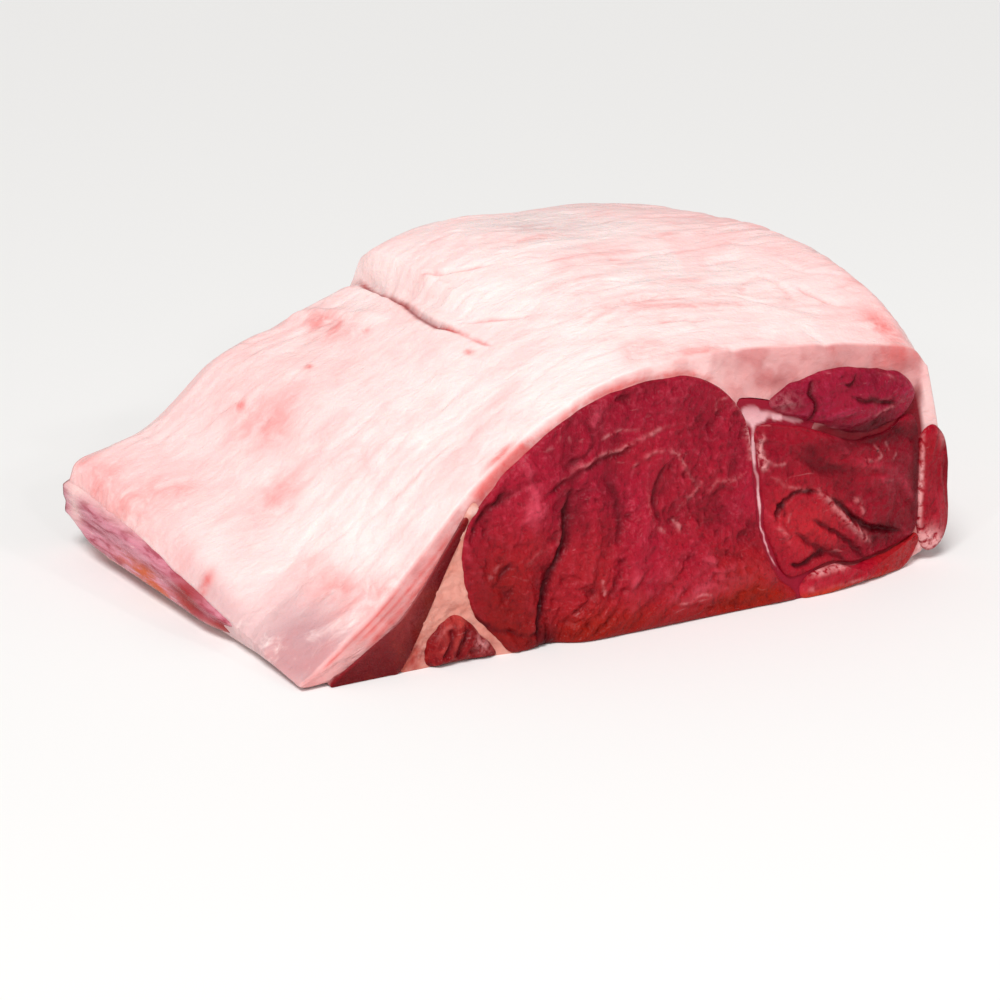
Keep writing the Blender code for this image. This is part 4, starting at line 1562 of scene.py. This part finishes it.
MUSCLES = (
    Muscle(
        "eye_muscle",
        (
            (74, 0), (66, 7.5), (60.5, 15), (57.5, 22.5), (56.5, 33), (58, 43.5), (67.5, 53.5), (77, 62),
            (92, 71.5), (108, 79), (124, 82.5), (141, 83.5), (152, 81.5), (161, 76.5), (167.5, 70), (171, 62),
            (172, 50),
            (172.2, 38), (172.8, 28), (175.8, 18), (181, 8), (186, 0), (150, 0), (111, 0), (90, 0),
        ),
        190, 2.2, CRIMSON, Slot.LEAN, rim=1.3, wrinkle=1.05, hub=(84, -14), seed=5,
        # Creases with a deep share are darkened by painted shade.
        marks=(
            Mark(
                ((98, 55), (96, 46), (95, 38), (92, 31), (89, 25), (86, 17), (83, 9), (82, 0)), 1.5, -2.6,
                deep=0.56,
            ),
            Mark(((105, 54), (105, 42), (102, 28), (98, 14)), 4.0, 1.2),
            Mark(((122, 50), (124, 38), (121, 24), (116, 12)), 4.0, 1.3),
            Mark(((142, 36), (148, 26), (153, 16)), 4.0, 1.0),
            Mark(((66, 40), (76, 44), (88, 50)), 4.0, 0.9),
            Mark(((112, 72), (128, 76), (146, 76)), 3.5, 0.8),
            Mark(((96, 53), (94, 45), (92.5, 38), (90, 33)), 0.8, 0.4, pale=0.12),
            Mark(((82, 49), (92, 53), (102, 57), (111, 60), (118, 61), (126, 64)), 1.0, -0.9, deep=0.24),
            Mark(
                ((92, 54.5), (101, 58.5), (111, 61.5), (117, 62.5), (126, 65.5), (132, 67.5), (138, 68.5)),
                0.7, 0.35, pale=0.28,
            ),
            Mark(((110, 66), (114, 68.5), (120, 69), (127, 67.5)), 0.5, 0.15, pale=0.28),
            Mark(
                ((120, 52), (123, 57.5), (128, 60), (134, 60.5), (138, 59), (142, 57.5), (149, 59.5)), 0.7,
                0.4, pale=0.17,
            ),
            Mark(((118, 50), (121, 55), (127, 57.5)), 0.8, -0.6, deep=0.24),
            Mark(((137, 60), (141, 56), (143.5, 52), (146, 48), (149, 44)), 0.7, 0.4, pale=0.28),
            Mark(((138, 38), (143, 42), (147, 44.5), (151, 48)), 0.7, 0.35, pale=0.2),
            Mark(((136, 56), (131, 50), (129.5, 42), (131, 35)), 1.2, -1.1, deep=0.32),
            Mark(((127, 52), (126.5, 44), (128, 36)), 0.7, 0.3, pale=0.17),
            Mark(((136.5, 36.5), (140.5, 31)), 0.7, 0.3, pale=0.35),
            Mark(((129, 35), (133, 32.5)), 0.7, 0.3, pale=0.25),
            Mark(((151, 43), (156, 46.5), (162, 45.5), (170, 48)), 0.7, 0.4, pale=0.23),
            Mark(((152, 41), (158, 43.5), (165, 42)), 0.9, -0.7, deep=0.28),
            Mark(((157, 69), (158.5, 73.5), (164, 74.5)), 0.6, 0.35, pale=0.23),
            Mark(((160, 62), (163, 68), (168, 70)), 1.2, 0.7),
            Mark(((111, 54), (114, 48), (115, 38), (112.5, 31)), 1.6, -0.8, deep=0.28),
            Mark(((106, 21), (106.2, 15)), 0.6, 0.25, pale=0.35),
            Mark(((134, 8.5), (141, 7.5), (147, 9.3), (151, 7)), 0.6, 0.4, pale=0.25),
            Mark(((136, 6.5), (144, 5.5), (152, 5)), 0.9, -0.6, deep=0.28),
            Mark(((94, 70.5), (92.5, 67.5)), 0.5, 0.2, pale=0.23),
            Mark(((98, 69.5), (98.3, 67)), 0.5, 0.2, pale=0.2),
            Mark(((88, 66), (92, 66.5)), 0.5, 0.2, pale=0.2),
            Mark(((102, 75), (105.5, 70.5), (107, 65.5), (101, 61.5), (94, 58)), 1.1, -0.8, deep=0.32),
            Mark(((65, 26), (68.5, 30), (72, 34)), 0.7, 0.3, pale=0.15),
            Mark(((77, 28), (83, 32), (89, 34)), 0.7, 0.35, pale=0.1),
            Mark(((66, 22), (70, 27), (75, 31)), 1.0, -0.7, deep=0.24),
            Mark(((59, 14), (66, 9.5), (76, 6), (84, 6)), 0.9, -0.8, deep=0.32),
            Mark(((62, 48), (72, 52), (80, 56), (88, 58)), 1.4, -0.6, deep=0.24),
            Mark(((58, 38), (64, 46), (74, 55)), 0.9, -0.7, deep=0.36),
            Mark(((96, 20), (108, 15.5), (124, 16.5), (134, 14)), 1.6, -0.7, deep=0.16),
            Mark(((150, 24), (158, 20.5), (168, 18)), 1.4, -0.7, deep=0.2),
            Mark(((170.6, 66), (171.6, 58), (171.8, 50)), 1.3, 0.2, pale=0.7),
            Mark(((165, 73.5), (169, 70.5), (171, 66)), 1.2, 0.2, pale=0.45),
        ),
        warm=(
            Blot(70, 20, 16, 24, 0.75), Blot(120, 2, 60, 10, 0.8), Blot(168, 12, 16, 16, 0.6),
            Blot(104, 20, 16, 18, 0.35),
            Blot(172, 2, 16, 4, 0.6),
        ),
        # Painted shade at the foot of the groove, under the fat's rim along the top, low on the left, along
        # the left edge and along the bottom.
        deep=(
            Blot(86, 0, 5, 9, 0.8), Blot(108, 76, 34, 10, 0.3), Blot(150, 78, 16, 8, 0.2),
            Blot(72, 12, 12, 16, 0.4),
            Blot(62, 30, 6, 16, 0.25), Blot(120, 2, 50, 4, 0.25),
        ),
    ),
    Muscle(
        "rump_muscle",
        (
            (186, 8.5), (179.8, 17), (177, 25), (175.8, 33), (175.1, 44), (174.3, 54), (175, 62), (190, 61),
            (202, 57), (216, 51.6), (226, 51.6), (235, 53.2), (243, 57), (247.5, 55), (249.3, 46), (250, 30),
            (249.4, 14.5), (240, 10.5), (217, 8.8), (203, 11),
        ),
        150, 1.0, DARK, Slot.DARK_LEAN, rim=1.0, wrinkle=0.65, flow=-34.0, seed=9,
        # Creases with a deep share are darkened by painted shade.
        marks=(
            Mark(((178, 46), (184, 41.5), (190, 39.5), (197, 37.5), (202, 34)), 0.9, 0.5, pale=0.17),
            Mark(
                ((198, 37), (204, 32.5), (208, 28.5), (213, 23.5), (219, 18), (226, 12)), 1.5, 1.1, pale=0.38,
            ),
            Mark(((215, 32), (220, 29), (221, 24)), 1.0, 0.7, pale=0.25),
            Mark(((204, 35), (211, 29), (217, 23.5), (224, 19), (233, 17), (242, 14)), 1.2, -1.7, deep=0.6),
            Mark(((180, 27), (182.5, 33), (187, 36.6), (193, 38), (200, 35)), 1.0, -1.2, deep=0.44),
            Mark(((179, 27), (184, 23.5), (186, 20)), 0.7, 0.4, pale=0.28),
            Mark(((187, 32), (185.7, 27)), 0.6, 0.3, pale=0.23),
            Mark(((194, 29), (206, 21), (216, 13.5), (223, 8)), 1.0, -1.1, deep=0.36),
            Mark(((187, 24), (196, 18), (206, 13), (213, 9)), 1.0, -1.0, deep=0.32),
            Mark(((192, 27), (200, 21.5), (209, 16)), 1.3, 0.7),
            Mark(((184, 13), (191, 12.2), (197, 14.5), (203, 14)), 1.3, -1.4, deep=0.64),
            Mark(((226.5, 50), (227.5, 47), (229, 45.5), (225.5, 44), (220, 45)), 0.5, 0.3, pale=0.3),
            Mark(((232, 49.5), (234, 46.5)), 0.5, 0.2, pale=0.2),
            Mark(((238, 47), (235, 42)), 0.5, 0.2, pale=0.2),
            Mark(((190, 50), (202, 44), (214, 42), (226, 36)), 1.6, -0.6, deep=0.16),
            Mark(((181, 50), (190, 55), (198, 54)), 1.4, 0.4),
            Mark(((179, 38), (183, 34), (185, 29)), 0.9, -0.8, deep=0.28),
            Mark(((175.6, 61), (175.2, 54), (176, 46)), 1.4, 0.2, pale=0.7),
            Mark(((175.5, 52), (180, 49.5), (186, 48.5)), 0.6, 0.3, pale=0.3),
        ),
        warm=(Blot(196, 24, 16, 14, 0.9), Blot(182, 34, 6, 10, 0.4)),
        # Painted shade at the end of the deep crease, in the groove by the side muscle and under the top
        # muscle's overhang, and two broader darker patches.
        deep=(Blot(232, 17, 10, 5, 0.6), Blot(248, 34, 3, 26, 0.7), Blot(224, 52, 26, 3.4, 0.75),
              Blot(206, 46, 20, 8, 0.2), Blot(238, 34, 12, 22, 0.4)),
    ),
    Muscle(
        "top_muscle",
        (
            (179.5, 70), (189, 75.2), (199, 77.2), (206, 78.5), (218, 78), (232, 75), (242, 71), (247, 65),
            (243, 59.5), (234, 55.6), (225, 54), (217, 54.2), (204, 59.2), (193, 63.8), (185, 66.4),
        ),
        120, 2.0, PURPLE, Slot.LEAN, rim=2.6, bulge=1.4, wrinkle=0.8, flow=14.0, ragged=1.3, seed=13,
        # Creases with a deep share are darkened by painted shade.
        marks=(
            Mark(((196, 60), (198, 66), (197, 72), (200, 77)), 1.2, -1.3, deep=0.48),
            Mark(((209, 75.5), (213, 76.4), (217, 74.5), (213, 72.6), (209, 74)), 0.8, -0.8, deep=0.48),
            Mark(((214, 68), (222, 66), (230, 64.5), (237, 63)), 1.1, -1.2, deep=0.48),
            Mark(((221, 57), (228, 60.5), (236, 62.5), (242, 65)), 0.8, 0.6, pale=0.25),
            Mark(((220, 62), (228, 65), (237, 68)), 0.7, 0.4, pale=0.1),
            Mark(((203, 60), (208, 58.5), (213, 57.5)), 0.8, 0.4, pale=0.12),
            Mark(((226, 76), (236, 72.5), (243, 68)), 0.7, 0.4, pale=0.12),
        ),
        pale=(Blot(186, 69.5, 5, 3, 0.2),),
        # Painted shade by the seam and along the lower edge where the muscle overhangs, and faintly on the
        # right.
        deep=(
            Blot(188, 70, 9, 6, 0.4), Blot(211, 58, 8, 4.5, 0.55), Blot(229, 56, 12, 4, 0.6),
            Blot(236, 70, 10, 5, 0.2),
        ),
    ),
    Muscle(
        "lower_muscle",
        ((191, 0), (192, 7), (203, 9.4), (217, 6.8), (240, 8.5), (250, 12), (251.5, 7.5), (241, 0), (215, 0)),
        90, 2.0, BRIGHT, Slot.LEAN, rim=1.5, wrinkle=0.6, flow=4.0, ragged=0.8, seed=17,
        pale=(
            Blot(197, 8.5, 4, 1.2, 0.7), Blot(207, 9, 5, 1.2, 0.7), Blot(194, 3, 2, 1, 0.3),
            Blot(212, 2.4, 8, 0.6, 0.25),
        ),
        warm=(Blot(200, 0, 16, 2.2, 0.9), Blot(225, 0.5, 14, 1.4, 0.5)),
    ),
    Muscle(
        "side_muscle",
        (
            (251.4, 14), (251.6, 30), (251.5, 46), (256, 51), (261.5, 47.5), (264, 40), (264.6, 30),
            (265.5, 19),
            (264.5, 9), (259, 4.5), (254, 7),
        ),
        100, 0.8, BRIGHT, Slot.LEAN, rim=1.4, wrinkle=0.6, flow=85.0, ragged=0.7, spread=0.9, seed=19,
        pale=(
            Blot(255, 8, 6, 4.5, 1.3), Blot(251.2, 28, 0.8, 20, 0.9), Blot(262, 48, 3, 4, 0.4),
            Blot(262, 6, 3, 3, 0.6),
        ),
        deep=(Blot(258, 30, 8, 22, 0.3),),
        side=1.0,
        stations=tuple(range(3, 178, 3)),
    ),
    Muscle(
        "tail_muscle",
        (
            (44, 0.3), (42, 4), (43.5, 9.5), (48, 14), (53, 15), (58, 12.6), (61.8, 8.5), (65.5, 3.5),
            (66.5, 0.3), (56, 0),
        ),
        90, 2.6, BROWN, Slot.DARK_LEAN, rim=1.6, wrinkle=1.1, flow=62.0, ragged=1.4, seed=23,
        # Creases with a deep share are darkened by painted shade.
        marks=(
            Mark(((46, 3), (49, 8), (51, 13)), 1.1, -1.2, deep=0.48),
            Mark(((52, 1), (54, 7), (59, 11)), 1.1, -1.2, deep=0.48),
            Mark(((44, 9), (48, 12), (53, 13.5)), 0.8, 0.5, pale=0.2),
        ),
        pale=(Blot(62, 6, 3, 3, 0.5),),
    ),
)

TISSUES = (
    Tissue(
        "tail_fat",
        (
            (33, 0.2), (38.5, 13), (48, 29.5), (60, 50.5), (63.5, 49), (61, 42), (60, 33), (61, 24), (64, 16),
            (70, 8),
            (77, 0.2), (60, 0.2),
        ),
        FatFinish("fat_of_the_tail", (218, 152, 138), (198, 98, 76), (160, 38, 32)),
        Slot.INNER_FAT,
        ("eye_muscle", "flank_muscle", "tail_muscle"),
        relief=1.6,
        blood=(
            Blot(38, 6, 6, 12, 1.0), Blot(66, 6, 5, 6, 0.6), Blot(48, 22, 6, 4, 0.35),
            Blot(60, 36, 1.5, 12, 0.4),
        ),
    ),
    Tissue(
        "seam",
        (
            (167, 71.5), (171, 72.5), (177, 71.5), (184, 69.5), (192, 66.5), (200, 62.5), (196, 58),
            (184, 56), (181, 44),
            (182, 34), (186, 24), (193, 14), (198, 6), (196, 0.2), (182, 0.2), (173, 14), (168, 30),
            (167, 45), (166, 60),
        ),
        FatFinish("fat_of_the_seam", (222, 168, 172), (206, 132, 142), (160, 28, 46), deep=(140, 18, 40)),
        Slot.SEAM,
        ("eye_muscle", "rump_muscle", "top_muscle", "lower_muscle"),
        around=360,
        rings=46,
        bloody=1.0,
        clear=(
            Mark(((174, 66), (173, 60), (172.8, 52), (173.4, 44), (173.8, 34)), 1.0),
            Mark(((173.6, 44), (173.8, 34), (174.6, 26), (177.5, 17), (182, 9)), 0.5),
            Blot(172.5, 67, 5.5, 4.0, 1.4), Mark(((170, 66), (180, 65.5), (188, 64), (197, 61)), 1.5),
        ),
        deep=(Blot(176, 72.0, 9, 2.8, 1.3),),
    ),
)

CAP = FatCap(
    FatFinish("fat_of_the_cap"),
    marks=(
        # The fold's crease: its deep is painted shade together with the crease's own dark red, and its pale
        # is blood.
        Mark(((112, 180), (109, 154), (106, 128), (102, 100), (103, 79)), 1.3, -1.6, pale=0.9, deep=0.8),
        Mark(((103, 92), (103, 76), (104, 58)), 0.9, -0.7, pale=0.8),
        Mark(((80, 176), (87, 166), (93, 144), (97, 120)), 2.6, 1.1),
        Mark(((114, 131), (122, 115), (134, 106)), 1.0, -0.9, pale=0.4),
        Mark(((107, 85), (114, 73), (123, 63)), 1.0, -0.8, pale=0.5),
        Mark(((168, 85), (185, 86), (201, 87)), 1.0, -1.0, pale=0.3),
        Mark(((140, 46), (154, 46), (166, 46)), 1.0, -1.0, pale=0.4),
        Mark(((148, 28), (161, 26), (171, 23)), 1.0, -0.8, pale=0.4),
        Mark(((198, 68), (210, 70), (219, 70)), 1.0, -0.9, pale=0.3),
        Mark(((224, 43), (227, 32), (235, 24)), 1.2, -1.2, pale=0.4),
        Mark(((196, 35), (203, 47), (216, 52), (217, 38), (207, 31), (197, 35)), 1.2, -0.7, pale=0.3),
    ),
    blood=(
        Blot(86, 148, 6, 20, 0.7), Blot(89, 125, 1.6, 2.2), Blot(66, 126, 1.4, 2), Blot(43, 136, 1.4, 2.4),
        Blot(98, 64, 1.4, 2.6), Blot(-4, 67, 3, 3), Blot(74, 3, 5, 2), Blot(240, 9, 7, 14, 0.8),
        Blot(137, 15, 10, 6, 0.5), Blot(153, 3, 12, 5, 0.5), Blot(22, 20, 7, 20, 0.55),
        Blot(30, 2, 6, 8, 0.5),
        Blot(-6, 150, 6, 34, 0.5), Blot(8, 120, 10, 12, 0.4), Blot(30, 78, 8, 10, 0.4),
        Blot(44, 110, 8, 24, 0.35),
    ),
    lilac=(Blot(5, 10, 17, 28, 1.0), Blot(-4, 60, 4, 30, 0.5)),
    # Painted shade: dark red lines in the gaps between the muscles on the cut face.
    gap_shade=(
        Mark(((198, 60), (206, 56), (217, 52.9), (226, 52.8), (235, 54.4), (245, 59), (248.5, 66)), 2.6),
        Mark(((248, 70), (248.5, 60), (250, 50), (250.4, 38), (250.6, 26), (250.4, 14)), 1.7),
        Mark(((190, 8), (204, 10.4), (217, 8), (234, 9.2), (250, 13)), 1.2), Blot(182, 77, 9, 2.2, 0.12),
        Blot(243, 76, 5, 3, 0.1),
    ),
    raw=(
        Mark(
            (
                (57, 40), (58, 45), (67, 54.4), (77, 63), (92, 72.5), (108, 80), (124, 83.5), (141, 84.5),
                (153, 82.4), (162, 77),
            ),
            1.5,
        ),
        Blot(200, 10, 22, 4, 0.8), Blot(240, 10, 16, 4, 0.9), Blot(196, 61, 8, 3, 0.5),
        Blot(20, 3, 14, 3, 0.4),
        Blot(184, 77, 14, 3, 0.25), Blot(250, 6, 8, 8, 0.6), Blot(240, 80, 10, 5, 0.6),
        Mark(((57.5, 45), (66, 56), (76, 65), (88, 72)), 2.2),
        Mark(((14, 9.5), (27, 18.7), (39, 29), (51, 40.7), (61, 52)), 0.7),
        Mark(((18, 8.4), (29, 16.5), (41, 27), (52, 38.5), (59, 46)), 1.1),
        Mark(((4, 5), (13, 11.5), (25, 20), (37, 30.5)), 0.5),
    ),
)


@dataclass(frozen=True)
class Studio:
    """A pale floor, soft lamps and the camera.

    Attributes:
        place: Where the camera is, in metres, with its right, up and forward as directions.
        lens: Focal length in millimetres.
        air: Strength of the light from all round.
        key: Strength of the sun, with its direction in sun and its width in sun_wide, in degrees.
        side: How far the floor reaches to each side, in metres.
        left: Where the left soft lamp hangs, and middle and far_right where the others do. Each is as wide
            as lamp_size, of lamp_power watts.
        look_at: What the lamps face.
    """

    place: Triple = (-0.43482, -0.71819, 0.26586)
    right: Triple = (0.85717, -0.51504, 0.0)
    up: Triple = (0.14429, 0.24014, 0.95996)
    forward: Triple = (0.49442, 0.82285, -0.28016)
    lens: float = 84.68
    air: float = 0.34
    key: float = 2.35
    sun: Triple = (0.50, 0.50, -1.0)
    sun_wide: float = 24
    side: float = 6.0
    left: Triple = (-0.9, -0.7, 0.55)
    middle: Triple = (-0.25, -1.1, 0.5)
    far_right: Triple = (0.5, -1.0, 0.75)
    lamp_size: float = 0.07
    lamp_power: float = 1.3
    look_at: Triple = (0, 0, 0.05)

    def lamp(self, name: str, place: Triple) -> None:
        """A square soft lamp that faces the piece.

        Args:
            name: Its name.
            place: Where it hangs, in metres.
        """
        light = bpy.data.lights.new(name, "AREA")
        light.shape = "SQUARE"
        light.size = self.lamp_size
        light.energy = self.lamp_power
        lamp = bpy.data.objects.new(name, light)
        lamp.location = place
        lamp.rotation_euler = (Vector(self.look_at) - Vector(place)).to_track_quat("-Z", "Y").to_euler()
        bpy.context.scene.collection.objects.link(lamp)

    def build(self) -> None:
        """Floor, air, lamps and camera."""
        mesh = bpy.data.meshes.new("floor")
        side = self.side
        corners = [(-side, -side, 0), (side, -side, 0), (side, side, 0), (-side, side, 0)]
        mesh.from_pydata(corners, [], [(0, 1, 2, 3)])
        paint = Paint("pale_floor")
        paint.set(paint.shader, "Base Color", (0.92, 0.915, 0.905, 1))
        paint.set(paint.shader, "Roughness", 0.7)
        mesh.materials.append(paint.material)
        floor = bpy.data.objects.new("floor", mesh)
        bpy.context.scene.collection.objects.link(floor)
        world = bpy.data.worlds.new("air")
        world.use_nodes = True
        sky = world.node_tree.nodes["Background"]
        sky.inputs["Color"].default_value = (1, 0.985, 0.97, 1)
        sky.inputs["Strength"].default_value = self.air
        bpy.context.scene.world = world
        sun = bpy.data.objects.new("key_light", bpy.data.lights.new("key_light", "SUN"))
        sun.data.energy = self.key
        sun.data.angle = math.radians(self.sun_wide)
        sun.rotation_euler = Vector(self.sun).to_track_quat("-Z", "Y").to_euler()
        bpy.context.scene.collection.objects.link(sun)
        for name, place in (("left", self.left), ("middle", self.middle), ("right", self.far_right)):
            self.lamp(f"{name}_lamp", place)
        camera = bpy.data.cameras.new("camera")
        camera.lens = self.lens
        camera.sensor_width = 36
        camera.clip_start = 0.05
        camera.clip_end = 20
        view = bpy.data.objects.new("camera", camera)
        turned = Matrix((self.right, self.up, tuple(-c for c in self.forward))).transposed().to_4x4()
        view.matrix_world = Matrix.Translation(self.place) @ turned
        bpy.context.scene.collection.objects.link(view)
        bpy.context.scene.camera = view
        bpy.context.scene.view_settings.view_transform = "Standard"


def main() -> None:
    """Builds the piece from its muscles outwards, then the studio."""
    logging.basicConfig(level=logging.INFO, format="%(message)s")
    flank = Flank()
    beds = {part.name: part.bed() for part in (*MUSCLES, flank, *TISSUES)}
    for muscle in MUSCLES:
        muscle.build()
    flank.build()
    for tissue in TISSUES:
        tissue.build(beds)
    CAP.build(beds)
    for bed in beds.values():
        bpy.data.meshes.remove(bed)
    Studio().build()


if __name__ == "__main__":
    main()
